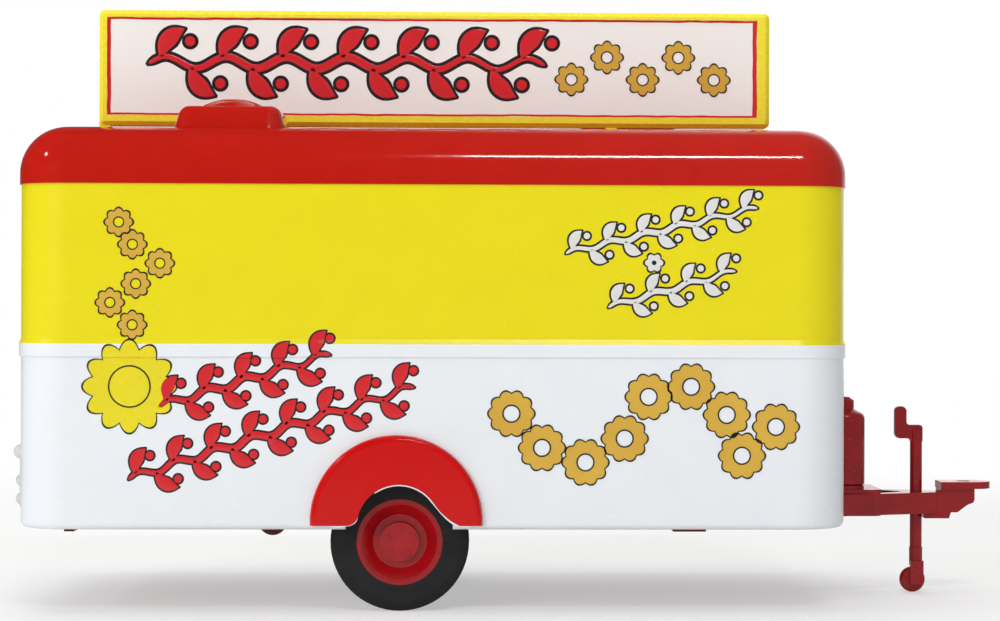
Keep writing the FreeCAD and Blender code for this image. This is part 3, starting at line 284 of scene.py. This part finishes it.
def finish_piece(bm: bmesh.types.BMesh, name: str, look: Finish, body: str = BODY) -> bpy.types.Object:
    """Turn a bmesh in millimetres into a dressed object that rides on a body.

    Args:
        bm: the shape, in place, in millimetres. It is freed here.
        name: the object's name.
        look: its finish.
        body: the body that carries it.

    Returns:
        The new object.
    """
    bmesh.ops.remove_doubles(bm, verts=bm.verts, dist=WELD)
    bmesh.ops.recalc_face_normals(bm, faces=bm.faces)
    bmesh.ops.scale(bm, vec=(MM, MM, MM), verts=bm.verts)
    for face in bm.faces:
        face.smooth = True
    mesh = bpy.data.meshes.new(name)
    bm.to_mesh(mesh)
    bm.free()
    mesh.set_sharp_from_angle(angle=SHARP)
    piece = bpy.data.objects.new(name, mesh)
    bpy.context.scene.collection.objects.link(piece)
    mesh.materials.append(look.material())
    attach(piece, body)
    LOG.info("%s: %d faces on %s", name, len(mesh.polygons), body)
    return piece


def merge(target: bmesh.types.BMesh, other: bmesh.types.BMesh) -> None:
    """Add a copy of another bmesh to the target and free the other one."""
    mesh = bpy.data.meshes.new("loose")
    other.to_mesh(mesh)
    other.free()
    target.from_mesh(mesh)
    bpy.data.meshes.remove(mesh)


STROKE_WELD = 1e-4  # mm
STROKE_HEIGHT = 0.25  # a stroke's height over its half width, before it is limited
STROKE_TIP = 0.3  # a blunt end's half width over the stroke's


class Wall(Enum):
    """The flat faces that carry print: each one's outer side, in millimetres."""

    SIDE = -12.2
    FENDER = -12.7
    SIGN = -0.63


@dataclass
class BeltRelief:
    """The belt bead across the side wall, which print follows."""

    profile: tuple[Point, ...] = (
        # height above the ground, how far the wall stands out there
        (14.97, 0.0), (15.0, 0.055), (15.03, 0.105), (15.07, 0.122), (15.8, 0.122), (16.1, 0.003),
        (16.12, 0.0),
    )

    def height(self, level: float) -> float:
        """How far the wall stands out at a height above the ground."""
        if not self.profile[0][0] < level < self.profile[-1][0]:
            return 0.0
        for (low, near), (high, far) in zip(self.profile, self.profile[1:]):
            if level <= high:
                return near + (far - near) * (level - low) / (high - low)
        return 0.0

    def hug(self, bm: bmesh.types.BMesh) -> None:
        """Cut a print at the bead's edges and push it out over the bead."""
        for level, _ in self.profile:
            everything = [*bm.verts, *bm.edges, *bm.faces]
            bmesh.ops.bisect_plane(bm, geom=everything, plane_co=(0, 0, level), plane_no=(0, 0, 1))
        for vert in bm.verts:
            vert.co.y -= self.height(vert.co.z)


@dataclass
class Ink:
    """One layer of print on a wall."""

    wall: Wall
    look: Finish
    base: float = 0.0
    thick: float = 0.02

    def stand(self, bm: bmesh.types.BMesh) -> bmesh.types.BMesh:
        """Stand a flat shape drawn in X and Y up against the wall.

        Args:
            bm: the shape, drawn flat, its height in Z.

        Returns:
            The same bmesh, with its Y turned to the height above the ground.
        """
        turn = Matrix(((1, 0, 0), (0, 0, -1), (0, 1, 0)))
        bmesh.ops.transform(bm, matrix=turn.to_4x4(), verts=bm.verts)
        bmesh.ops.translate(bm, vec=(0, self.wall.value - self.base, 0), verts=bm.verts)
        if self.wall is Wall.SIDE:
            BeltRelief().hug(bm)
        return bm

    def strokes(self, strokes: list[Stroke], extra: float = 0.0) -> bmesh.types.BMesh:
        """Lay down brush strokes that swell and thin.

        Args:
            strokes: each a row of (x, y, half width).
            extra: what is added to every half width.

        Returns:
            A bmesh of flat strokes with rounded edges, standing on the wall.
        """
        curve = bpy.data.curves.new("stroke", "CURVE")
        curve.dimensions = "3D"
        curve.bevel_depth = 1.0
        curve.bevel_resolution = 2
        curve.resolution_u = 5
        curve.use_fill_caps = True
        for stroke in strokes:
            rounded = self._round_ends([(x, y, half + extra) for x, y, half in stroke])
            spline = curve.splines.new("NURBS")
            spline.points.add(len(rounded) - 1)
            for point, (x, y, half) in zip(spline.points, rounded):
                point.co = (x, y, 0, 1)
                point.radius = half
            spline.order_u = 4
            spline.use_endpoint_u = True
        holder = bpy.data.objects.new("stroke", curve)
        bpy.context.scene.collection.objects.link(holder)
        bpy.context.view_layer.update()
        mesh = bpy.data.meshes.new_from_object(
            holder.evaluated_get(bpy.context.evaluated_depsgraph_get())
        )
        bm = bmesh.new()
        bm.from_mesh(mesh)
        bpy.data.objects.remove(holder)
        bpy.data.meshes.remove(mesh)
        bmesh.ops.remove_doubles(bm, verts=bm.verts, dist=STROKE_WELD)
        for vert in bm.verts:
            vert.co.z = max(-self.thick, min(self.thick, vert.co.z * STROKE_HEIGHT))
        return self.stand(bm)

    def _round_ends(self, stroke: Stroke) -> Stroke:
        """Draw a stroke a little further at both ends, to a blunt point.

        Returns:
            The stroke with two more points.
        """
        tips = []
        for end, inner in ((stroke[0], stroke[1]), (stroke[-1], stroke[-2])):
            away = Vector((end[0] - inner[0], end[1] - inner[1])).normalized() * end[2]
            tips.append((end[0] + away.x, end[1] + away.y, STROKE_TIP * end[2]))
        return [tips[0], *stroke, tips[1]]

    def plate(self, bm: bmesh.types.BMesh) -> bmesh.types.BMesh:
        """Give a flat outline its ink thickness and stand it on the wall.

        Args:
            bm: faces drawn flat in X and Y.

        Returns:
            The same bmesh, closed, on the wall.
        """
        grown = bmesh.ops.extrude_face_region(bm, geom=list(bm.faces))
        lifted = [item for item in grown["geom"] if isinstance(item, bmesh.types.BMVert)]
        bmesh.ops.translate(bm, vec=(0, 0, self.thick), verts=lifted)
        return self.stand(bm)


THIN_RING = 0.6  # from this share of the outer radius, the inner edge is scalloped too
LOBE_SEGMENTS = 12


def scallop(verts: list[bmesh.types.BMVert], lobes: int, depth: float) -> None:
    """Pull a circle's points in between its lobes.

    Args:
        verts: the circle's points, round the origin.
        lobes: how many lobes it has.
        depth: how far a point between two lobes moves in, as a share of the radius.
    """
    for vert in verts:
        angle = math.atan2(vert.co.y, vert.co.x)
        vert.co *= 1 - depth * (1 - abs(math.cos(lobes * angle / 2)))


def scalloped(
    middle: Point, outer: float, inner: float, lobes: int = 0, depth: float = 0.0
) -> bmesh.types.BMesh:
    """Draw a ring, scalloped if it has lobes.

    Args:
        middle: where its middle is.
        outer: outer radius at the lobes' tips.
        inner: inner radius.
        lobes: how many scallops it has.
        depth: how deep they are, as a share of the radius. Only a thin ring's inner edge
            has them too.

    Returns:
        A flat ring.
    """
    bm = bmesh.new()
    count = max(48, lobes * LOBE_SEGMENTS)
    for radius, cut in ((outer, True), (inner, inner > THIN_RING * outer)):
        ring = bmesh.ops.create_circle(bm, cap_ends=False, segments=count, radius=radius)["verts"]
        if cut and lobes:
            scallop(ring, lobes, depth)
    bmesh.ops.bridge_loops(bm, edges=list(bm.edges))
    bmesh.ops.translate(bm, vec=(*middle, 0), verts=bm.verts)
    return bm


LONG_EDGE = 1.0  # mm, longer edges of a line are cut up
EDGE_CUTS = 60


def rectangle_line(
    low: Point, high: Point, widths: tuple[float, float, float, float]
) -> bmesh.types.BMesh:
    """Draw a line inside a rectangle's four sides.

    Args:
        low: the rectangle's lower left corner.
        high: its upper right corner.
        widths: the line's width at the left, the right, the foot and the head.

    Returns:
        A flat closed frame, cut finely enough to be made uneven.
    """
    bm = bmesh.new()
    left, right, foot, head = widths
    for x_low, y_low, x_high, y_high in (
        (low[0], low[1], high[0], high[1]),
        (low[0] + left, low[1] + foot, high[0] - right, high[1] - head),
    ):
        square = bmesh.ops.create_circle(bm, cap_ends=False, segments=4, radius=math.sqrt(0.5))
        verts = square["verts"]
        bmesh.ops.rotate(bm, verts=verts, matrix=Matrix.Rotation(math.radians(45), 3, "Z"))
        bmesh.ops.scale(bm, vec=(x_high - x_low, y_high - y_low, 1), verts=verts)
        bmesh.ops.translate(
            bm, vec=((x_low + x_high) / 2, (y_low + y_high) / 2, 0), verts=verts
        )
    bmesh.ops.bridge_loops(bm, edges=list(bm.edges))
    long = [edge for edge in bm.edges if edge.calc_length() > LONG_EDGE]
    bmesh.ops.subdivide_edges(bm, edges=long, cuts=EDGE_CUTS, use_grid_fill=True)
    return bm


def disc(middle: Point, radius: float, lobes: int = 0, depth: float = 0.0) -> bmesh.types.BMesh:
    """Draw a filled disc, scalloped if it has lobes.

    Args:
        middle: where its middle is.
        radius: its radius at the lobes' tips.
        lobes: how many scallops it has.
        depth: how deep they are, as a share of the radius.

    Returns:
        A flat disc.
    """
    bm = bmesh.new()
    count = max(40, lobes * LOBE_SEGMENTS)
    ring = bmesh.ops.create_circle(bm, cap_ends=True, segments=count, radius=radius)["verts"]
    if lobes:
        scallop(ring, lobes, depth)
    bmesh.ops.translate(bm, vec=(*middle, 0), verts=bm.verts)
    return bm


# one leaf: (along, to the side, share of the leaf's half width), along from 0 to 1
LEAF: Stroke = [
    (0.0, 0.0, 0.30), (0.18, 0.10, 0.62), (0.42, 0.16, 1.05), (0.68, 0.13, 1.0),
    (0.88, 0.05, 0.55), (1.0, -0.02, 0.10),
]


STEM_POINTS = 4  # for each leaf
STEM_ENDS, STEM_SWELL, STEM_TAPER = 0.55, 0.45, 1.15  # how the stem's width runs along it
LEAF_ROOT = 0.35  # where a leaf leaves the stem, in leaf pitches
BERRY_PLACE = 1.3  # where its berry is, in leaf pitches
BERRY_SIZE = 0.62  # a berry's radius over the leaf's half width


@dataclass
class Vine:
    """A leafy vine along a sloping line, a common border ornament."""

    start: Point
    length: float
    leaves: int
    leaf: float
    half: float
    stem: float
    sway: float
    slope: float = 0.0
    lean: float = math.radians(52)
    berry: float = 0.6

    def _placed(self, x: float, y: float, half: float) -> tuple[float, float, float]:
        """Turn a point on the straight vine to the vine's own slope and place."""
        cos, sin = math.cos(self.slope), math.sin(self.slope)
        return (self.start[0] + x * cos - y * sin, self.start[1] + x * sin + y * cos, half)

    def strokes(self) -> list[Stroke]:
        """Draw the stem and its leaves on both sides.

        Returns:
            One stroke for each of them.
        """
        pitch = self.length / self.leaves
        count = STEM_POINTS * self.leaves
        stem = []
        for number in range(count + 1):
            x = self.length * number / count
            bulge = math.sin(math.pi * min(1.0, STEM_TAPER * number / count))
            thin = STEM_ENDS + STEM_SWELL * bulge
            stem.append(self._placed(x, self.sway * math.sin(math.pi * x / pitch), self.stem * thin))
        made: list[Stroke] = [stem]
        for number in range(self.leaves):
            side = -1 if number % 2 else 1
            x = (number + LEAF_ROOT) * pitch
            y = self.sway * math.sin(math.pi * x / pitch)
            cos, sin = math.cos(self.lean), math.sin(self.lean)
            leaf = []
            for along, away, share in LEAF:
                u, v = along * self.leaf, away * self.leaf
                leaf.append(self._placed(
                    x + u * cos - v * sin, y + side * (u * sin + v * cos), share * self.half
                ))
            made.append(leaf)
        return made

    def berries(self, extra: float = 0.0) -> bmesh.types.BMesh:
        """Draw a round berry beyond each leaf.

        Args:
            extra: what is added to every berry's radius.

        Returns:
            Flat discs.
        """
        bm = bmesh.new()
        pitch = self.length / self.leaves
        for number in range(self.leaves):
            side = -1 if number % 2 else 1
            x, y, size = self._placed(
                (number + BERRY_PLACE) * pitch, side * self.leaf * self.berry, self.half * BERRY_SIZE
            )
            merge(bm, disc((x, y), size + extra))
        return bm


def print_vines(rows: list[Vine], ink: Ink, name: str, extra: float = 0.0) -> None:
    """Print some vines as one piece.

    Args:
        rows: the vines.
        ink: the layer that they are printed in.
        name: the piece's name.
        extra: what is added to every half width, for an edge that shows round them.
    """
    bm = ink.strokes([stroke for row in rows for stroke in row.strokes()], extra)
    for row in rows:
        merge(bm, ink.plate(row.berries(extra)))
    finish_piece(bm, name, ink.look)


def print_plate(bm: bmesh.types.BMesh, ink: Ink, name: str) -> None:
    """Print a flat shape as one piece."""
    finish_piece(ink.plate(bm), name, ink.look)


@dataclass(frozen=True)
class Rosette:
    """A gold ring with a scalloped rim, a dark outline and a dark eye."""

    rim: float
    hole: float
    outline: tuple[float, float]
    eye: tuple[float, float]
    lobes: int
    depth: float

    def draw(self, middle: Point, gold: bmesh.types.BMesh, black: bmesh.types.BMesh) -> None:
        """Add one rosette to the gold layer and the black one.

        Args:
            middle: where its middle is.
            gold: the gold layer.
            black: the black layer.
        """
        merge(gold, scalloped(middle, self.rim, self.hole, self.lobes, self.depth))
        merge(black, scalloped(middle, *self.outline, self.lobes, self.depth))
        merge(black, scalloped(middle, *self.eye))


# The trailer


@dataclass
class Shell:
    """The carried-over solids."""

    def dress(self, nodes: dict[str, bpy.types.Object]) -> None:
        """Give every node its material.

        Args:
            nodes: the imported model's objects by name.
        """
        for name, node in nodes.items():
            look = NODE_FINISHES[name]
            node.data.materials.clear()
            node.data.materials.append(look.material())
            LOG.info("%s: %s", name, look.name)


@dataclass
class RoofSign:
    """Print on the roof sign: a thin line round the panel, a vine and gold rosettes."""

    left: float = -25.72
    right: float = 15.13
    foot: float = 29.97
    head: float = 36.12
    line: float = 0.13
    line_shares: tuple[float, float, float, float] = (1.6, 2.0, 1.0, 1.0)
    line_inset: float = 0.02
    wobble: float = 0.04
    wobble_rate: float = 1.3
    rosette: Rosette = Rosette(1.02, 0.34, (1.08, 0.97), (0.40, 0.32), 8, 0.22)
    rosettes: int = 5
    rosette_start: float = 3.4
    rosette_pitch: float = 2.25
    rosette_rows: tuple[float, float] = (32.35, 33.75)

    def build(self) -> None:
        """Make the sign's print."""
        self._line()
        self._vines()
        self._rosettes()

    def _line(self) -> None:
        """Lay the thin red line along the panel's edge, a little uneven as printed."""
        bm = rectangle_line(
            (self.left + self.line_inset, self.foot + self.line_inset),
            (self.right - self.line_inset, self.head - self.line_inset),
            tuple(self.line * share for share in self.line_shares),
        )
        for vert in bm.verts:
            shift = noise.noise_vector(vert.co * self.wobble_rate) * self.wobble
            vert.co.x += shift.x
            vert.co.y += shift.y
        print_plate(bm, Ink(Wall.SIGN, INK_RED, 0.0, 0.015), "sign_line")

    def _vines(self) -> None:
        """Lay the bold red vine with its black edge."""
        rows = [Vine((-23.0, 33.3), 24.6, 13, 2.2, 0.52, 0.26, 0.4)]
        print_vines(rows, Ink(Wall.SIGN, INK_BLACK, 0.0, 0.02), "sign_vine_edge", 0.2)
        print_vines(rows, Ink(Wall.SIGN, INK_RED, 0.021, 0.024), "sign_vine")

    def _rosettes(self) -> None:
        """Lay the row of gold rosettes at the sign's front end."""
        gold, black = bmesh.new(), bmesh.new()
        for number in range(self.rosettes):
            along = self.rosette_start + number * self.rosette_pitch
            self.rosette.draw((along, self.rosette_rows[number % 2]), gold, black)
        print_plate(gold, Ink(Wall.SIGN, INK_GOLD, 0.0, 0.015), "sign_rosettes")
        print_plate(black, Ink(Wall.SIGN, INK_BLACK, 0.0, 0.022), "sign_rosettes_edge")


@dataclass
class SidePrint:
    """Print on the side wall: vines in red and in white, and gold rosettes."""

    chain: list[Point] = field(default_factory=lambda: [
        (-0.45, 11.75), (1.35, 9.75), (3.9, 8.9), (6.2, 10.3), (7.6, 12.75),
        (10.1, 13.35), (12.2, 11.7), (13.1, 9.3), (15.1, 11.0),
    ])
    column: list[Point] = field(default_factory=lambda: [
        (-22.6, 16.9), (-23.9, 18.2), (-22.4, 19.3), (-21.0, 20.5), (-22.6, 21.6), (-23.4, 22.9),
    ])
    chain_rosette: Rosette = Rosette(1.38, 0.5, (1.43, 1.33), (0.54, 0.45), 10, 0.14)
    column_rosette: Rosette = Rosette(0.84, 0.28, (0.90, 0.80), (0.33, 0.26), 8, 0.2)
    large: Point = (-22.75, 13.3)
    flower: Point = (7.9, 20.62)

    def build(self) -> None:
        """Make the side wall's print."""
        self._chain()
        self._column()
        self._vines()
        self._flower()

    def _chain(self) -> None:
        """Lay the chain of gold rosettes over the front half of the lower wall."""
        gold, black = bmesh.new(), bmesh.new()
        for middle in self.chain:
            self.chain_rosette.draw(middle, gold, black)
        print_plate(gold, Ink(Wall.SIDE, INK_GOLD, 0.0, 0.015), "side_rosettes")
        print_plate(black, Ink(Wall.SIDE, INK_BLACK, 0.0, 0.022), "side_rosettes_edge")

    def _column(self) -> None:
        """Lay the large yellow rosette and the gold ones that rise from it."""
        yellow, gold, black = disc(self.large, 2.75, 12, 0.2), bmesh.new(), bmesh.new()
        merge(black, scalloped(self.large, 2.81, 2.70, 12, 0.2))
        merge(black, scalloped(self.large, 1.25, 1.16))
        for middle in self.column:
            self.column_rosette.draw(middle, gold, black)
        print_plate(yellow, Ink(Wall.SIDE, INK_YELLOW, 0.0, 0.012), "column_rosette")
        print_plate(gold, Ink(Wall.SIDE, INK_GOLD, 0.0, 0.018), "column_gold")
        print_plate(black, Ink(Wall.SIDE, INK_BLACK, 0.0, 0.024), "column_edge")

    def _vines(self) -> None:
        """Lay the sloping vines: two rows in red below, two in white above."""
        rows = [
            Vine((-20.9, 12.2), 10.2, 9, 1.5, 0.38, 0.2, 0.22, math.radians(17)),
            Vine((-22.7, 7.95), 17.3, 15, 1.5, 0.38, 0.2, 0.22, math.radians(18)),
        ]
        print_vines(rows, Ink(Wall.SIDE, INK_BLACK, 0.0, 0.012), "red_vines_edge", 0.11)
        print_vines(rows, Ink(Wall.SIDE, INK_RED, 0.013, 0.016), "red_vines")
        rows = [
            Vine((2.8, 21.2), 11.4, 11, 1.15, 0.3, 0.16, 0.15, math.radians(13.5)),
            Vine((5.3, 18.05), 7.6, 7, 1.15, 0.3, 0.16, 0.15, math.radians(16)),
        ]
        print_vines(rows, Ink(Wall.SIDE, INK_BLACK, 0.0, 0.012), "white_vines_edge", 0.12)
        print_vines(rows, Ink(Wall.SIDE, INK_WHITE, 0.013, 0.016), "white_vines")

    def _flower(self) -> None:
        """Lay the small white flower between the white vines."""
        edge = disc(self.flower, 0.66, 6, 0.25)
        print_plate(edge, Ink(Wall.SIDE, INK_BLACK, 0.0, 0.012), "flower_edge")
        petals = scalloped(self.flower, 0.54, 0.14, 6, 0.25)
        print_plate(petals, Ink(Wall.SIDE, INK_WHITE, 0.013, 0.016), "flower")


@dataclass
class FenderPaleLine:
    """A thin pale line along the fender's opening, laid in white paint."""

    middle: Point = (-7.015, 5.155)
    radius: float = 2.42
    rear_foot: Point = (-10.165, 5.2)
    front_foot: Point = (-3.445, 5.2)
    # angles on the opening's round part, in degrees
    heel: float = 169.0
    rear_end: float = 125.0
    shoulder: float = 35.0
    arc_steps: int = 14
    line: float = 0.045
    # steps from the front foot, the heel and the rear foot: along, up, half width
    front_run: tuple[tuple[float, float, float], ...] = (
        (-1.17, 0.86, 0.06), (-0.77, 0.41, 0.05), (-0.35, 0.1, 0.07), (0.1, -0.02, 0.08),
        (0.6, -0.03, 0.04),
    )
    heel_run: tuple[tuple[float, float, float], ...] = ((-0.02, 0.1, 0.03), (-0.12, -0.2, 0.05))
    rear_run: tuple[tuple[float, float, float], ...] = (
        (0.35, 0.08, 0.08), (0.05, 0.01, 0.05), (-0.4, -0.03, 0.08), (-0.95, -0.03, 0.03),
    )
    ink: Ink = field(default_factory=lambda: Ink(Wall.FENDER, WHITE, -0.03, 0.02))

    def _on_arc(self, degrees: float) -> Point:
        """Find a point on the opening's round part by its angle."""
        angle = math.radians(degrees)
        return (self.middle[0] + self.radius * math.cos(angle),
                self.middle[1] + self.radius * math.sin(angle))

    def _run(self, corner: Point, steps: tuple[tuple[float, float, float], ...]) -> Stroke:
        """Place a row of steps from a corner."""
        return [(corner[0] + along, corner[1] + up, half) for along, up, half in steps]

    def build(self) -> None:
        """Make the line: thin at the top, wider to the front, ragged at both feet."""
        turn = self.shoulder - self.rear_end
        top = []
        for step in range(self.arc_steps + 1):
            top.append((*self._on_arc(self.rear_end + turn * step / self.arc_steps), self.line))
        top += self._run(self.front_foot, self.front_run)
        back = self._run(self._on_arc(self.heel), self.heel_run)
        back += self._run(self.rear_foot, self.rear_run)
        finish_piece(self.ink.strokes([top, back]), "fender_pale_line", self.ink.look)


# Studio


class Ray(Enum):
    """Light Path outputs that see the plain white background."""

    CAMERA = "Is Camera Ray"
    GLOSSY = "Is Glossy Ray"
    THROUGH = "Is Transmission Ray"


def combine(
    tree: bpy.types.NodeTree,
    operation: str,
    first: bpy.types.NodeSocket,
    second: bpy.types.NodeSocket,
) -> bpy.types.NodeSocket:
    """Join two values.

    Args:
        tree: the nodes that they are in.
        operation: what a Math node does with them.
        first: the first value.
        second: the second value.

    Returns:
        The joined value.
    """
    node = tree.nodes.new("ShaderNodeMath")
    node.operation = operation
    tree.links.new(first, node.inputs[0])
    tree.links.new(second, node.inputs[1])
    return node.outputs["Value"]


@dataclass
class Lamp:
    """One soft box: where it hangs, its size and its power."""

    name: str
    place: tuple[float, float, float]
    wide: float
    tall: float
    watts: float
    mirrored: bool = True

    def hang(self, aim: Vector) -> None:
        """Hang the lamp, facing a point."""
        data = bpy.data.lights.new(self.name, "AREA")
        data.shape = "RECTANGLE"
        data.size, data.size_y = self.wide, self.tall
        data.energy = self.watts
        lamp = bpy.data.objects.new(self.name, data)
        bpy.context.scene.collection.objects.link(lamp)
        lamp.location = self.place
        lamp.visible_glossy = self.mirrored
        away = (Vector(self.place) - aim).normalized()
        side = Vector((0, 0, 1)).cross(away)
        side = side.normalized() if side.length > 1e-4 else Vector((1, 0, 0))
        turn = Matrix((side, away.cross(side), away)).transposed()
        lamp.rotation_euler = turn.to_euler()


@dataclass
class Studio:
    """Floor, background, lamps and camera."""

    floor_radius: float = 0.6
    floor_grey: float = 0.93
    clear: float = 0.07
    fade: float = 0.14
    # strengths, and the directions between which they change
    fill: tuple[float, float] = (0.55, 0.22)
    fill_reach: tuple[float, float] = (-0.8, 0.8)
    room: tuple[float, float] = (0.15, 1.0)
    room_reach: tuple[float, float] = (0.55, 0.95)
    behind: tuple[float, float] = (0.1, 1.5)
    behind_reach: tuple[float, float] = (-0.06, 0.17)
    floor_glow: float = 0.45
    floor_mirror: float = 0.3
    lens: float = 95.07
    film: float = 36.0
    eye: tuple[float, float, float] = (-0.0023, -0.167, 0.01807)
    middle: float = math.radians(0.43)
    yaw: float = math.radians(1.7)
    roll: float = math.radians(0.17)
    horizon_shift: float = -0.0045
    clip: tuple[float, float] = (0.005, 10.0)
    aim: tuple[float, float, float] = (0.0, 0.0, 0.018)
    lamps: list[Lamp] = field(default_factory=lambda: [
        # name, place, width, height, watts
        Lamp("key", (-0.24, -0.34, 0.14), 0.20, 0.20, 0.50, mirrored=False),
        Lamp("top", (-0.04, 0.03, 0.42), 0.30, 0.30, 0.50, mirrored=False),
        Lamp("strip", (0.0365, -0.217, 0.247), 0.082, 0.013, 0.19),
        Lamp("glint", (-0.241, -0.104, 0.216), 0.040, 0.030, 0.07),
        Lamp("back", (-0.05, 0.34, 0.25), 0.25, 0.25, 0.45, mirrored=False),
    ])

    def build(self) -> None:
        """Set up the whole studio."""
        self._floor()
        self._world()
        for lamp in self.lamps:
            lamp.hang(Vector(self.aim))
        self._camera()
        scene = bpy.context.scene
        scene.view_settings.view_transform = "Standard"

    def _background_share(self, tree: bpy.types.NodeTree) -> bpy.types.NodeSocket:
        """Add up the rays that see the background.

        Returns:
            1 for those rays and 0 for the rest.
        """
        path = tree.nodes.new("ShaderNodeLightPath")
        total = path.outputs[Ray.CAMERA.value]
        for ray in (Ray.GLOSSY, Ray.THROUGH):
            total = combine(tree, "MAXIMUM", total, path.outputs[ray.value])
        return total

    def _floor(self) -> None:
        """Lay a pale round floor that melts into the background away from the trailer."""
        bm = bmesh.new()
        bmesh.ops.create_circle(bm, cap_ends=True, segments=96, radius=self.floor_radius)
        mesh = bpy.data.meshes.new("floor")
        bm.to_mesh(mesh)
        bm.free()
        floor = bpy.data.objects.new("floor", mesh)
        bpy.context.scene.collection.objects.link(floor)
        mesh.materials.append(self._floor_material())

    def _floor_material(self) -> bpy.types.Material:
        """Make the floor's material: pale, with a shadow, and plain white further out.

        Returns:
            The material.
        """
        made = bpy.data.materials.new("studio_floor")
        made.use_nodes = True
        tree = made.node_tree
        shader = tree.nodes["Principled BSDF"]
        shader.inputs["Base Color"].default_value = (*[self.floor_grey] * 3, 1)
        shader.inputs["Roughness"].default_value = 0.9
        shader.inputs["Specular IOR Level"].default_value = 0.1
        plain = tree.nodes.new("ShaderNodeEmission")
        path = tree.nodes.new("ShaderNodeLightPath")
        glow = tree.nodes.new("ShaderNodeMath")
        glow.operation = "MAXIMUM"
        glow.inputs[0].default_value = self.floor_mirror
        tree.links.new(path.outputs[Ray.CAMERA.value], glow.inputs[1])
        tree.links.new(glow.outputs["Value"], plain.inputs["Strength"])
        place = tree.nodes.new("ShaderNodeTexCoord").outputs["Object"]
        reach = tree.nodes.new("ShaderNodeVectorMath")
        reach.operation = "LENGTH"
        tree.links.new(place, reach.inputs[0])
        ramp = tree.nodes.new("ShaderNodeMapRange")
        ramp.interpolation_type = "SMOOTHSTEP"
        ramp.inputs["From Min"].default_value = self.clear
        ramp.inputs["From Max"].default_value = self.fade
        tree.links.new(reach.outputs["Value"], ramp.inputs["Value"])
        ramp.inputs["To Min"].default_value = self.floor_glow
        share = combine(tree, "MULTIPLY", ramp.outputs["Result"], self._background_share(tree))
        mix = tree.nodes.new("ShaderNodeMixShader")
        tree.links.new(share, mix.inputs[0])
        tree.links.new(shader.outputs[0], mix.inputs[1])
        tree.links.new(plain.outputs[0], mix.inputs[2])
        tree.links.new(mix.outputs[0], tree.nodes["Material Output"].inputs["Surface"])
        return made

    def _world(self) -> None:
        """Light the trailer evenly and show a white background."""
        world = bpy.data.worlds.new("studio")
        bpy.context.scene.world = world
        world.use_nodes = True
        tree = world.node_tree
        soft = tree.nodes["Background"]
        soft.inputs["Color"].default_value = (1, 1, 1, 1)
        tree.links.new(self._ramp(tree, "X", self.fill_reach, self.fill), soft.inputs["Strength"])
        white = tree.nodes.new("ShaderNodeBackground")
        white.inputs["Color"].default_value = (1, 1, 1, 1)
        tree.links.new(self._dark_side(tree), white.inputs["Strength"])
        mix = tree.nodes.new("ShaderNodeMixShader")
        tree.links.new(self._background_share(tree), mix.inputs[0])
        tree.links.new(soft.outputs[0], mix.inputs[1])
        tree.links.new(white.outputs[0], mix.inputs[2])
        tree.links.new(mix.outputs[0], tree.nodes["World Output"].inputs["Surface"])

    def _dark_side(self, tree: bpy.types.NodeTree) -> bpy.types.NodeSocket:
        """Dim what gloss mirrors of the background, most of all to the rear and near the camera.

        Returns:
            The background's strength, which is 1 wherever the camera sees it.
        """
        near = self._ramp(tree, "Y", self.room_reach, self.room)
        rear = self._ramp(tree, "X", self.behind_reach, self.behind)
        path = tree.nodes.new("ShaderNodeLightPath")
        mirrored = combine(tree, "MULTIPLY", near, rear)
        return combine(tree, "MAXIMUM", mirrored, path.outputs[Ray.CAMERA.value])

    def _ramp(
        self,
        tree: bpy.types.NodeTree,
        axis: str,
        reach: tuple[float, float],
        values: tuple[float, float],
    ) -> bpy.types.NodeSocket:
        """Let a value change with the direction that a ray leaves in.

        Args:
            tree: the world's nodes.
            axis: the part of the direction that counts, X, Y or Z.
            reach: where along it the change starts and ends.
            values: the values there.

        Returns:
            The value.
        """
        split = tree.nodes.new("ShaderNodeSeparateXYZ")
        tree.links.new(tree.nodes.new("ShaderNodeTexCoord").outputs["Generated"], split.inputs[0])
        ramp = tree.nodes.new("ShaderNodeMapRange")
        ramp.inputs["From Min"].default_value = reach[0]
        ramp.inputs["From Max"].default_value = reach[1]
        ramp.inputs["To Min"].default_value = values[0]
        ramp.inputs["To Max"].default_value = values[1]
        tree.links.new(split.outputs[axis], ramp.inputs["Value"])
        return ramp.outputs["Result"]

    def _camera(self) -> None:
        """Stand the camera a little askew to the side, with the trailer in mid-picture."""
        data = bpy.data.cameras.new("camera")
        data.lens = self.lens
        data.sensor_width = self.film
        data.shift_x = math.tan(self.middle - self.yaw) * self.lens / self.film
        data.shift_y = self.horizon_shift
        data.clip_start, data.clip_end = self.clip
        camera = bpy.data.objects.new("camera", data)
        bpy.context.scene.collection.objects.link(camera)
        camera.location = self.eye
        turn = Matrix.Rotation(-self.yaw, 3, "Z") @ Matrix.Rotation(math.pi / 2, 3, "X")
        camera.rotation_euler = (turn @ Matrix.Rotation(self.roll, 3, "Z")).to_euler()
        bpy.context.scene.camera = camera


def main() -> None:
    """Build the scene round the frame."""
    logging.basicConfig(level=logging.INFO, format="%(name)s: %(message)s")
    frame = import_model()
    Shell().dress(frame["nodes"])
    RoofSign().build()
    SidePrint().build()
    FenderPaleLine().build()
    Studio().build()


if __name__ == "__main__":
    main()
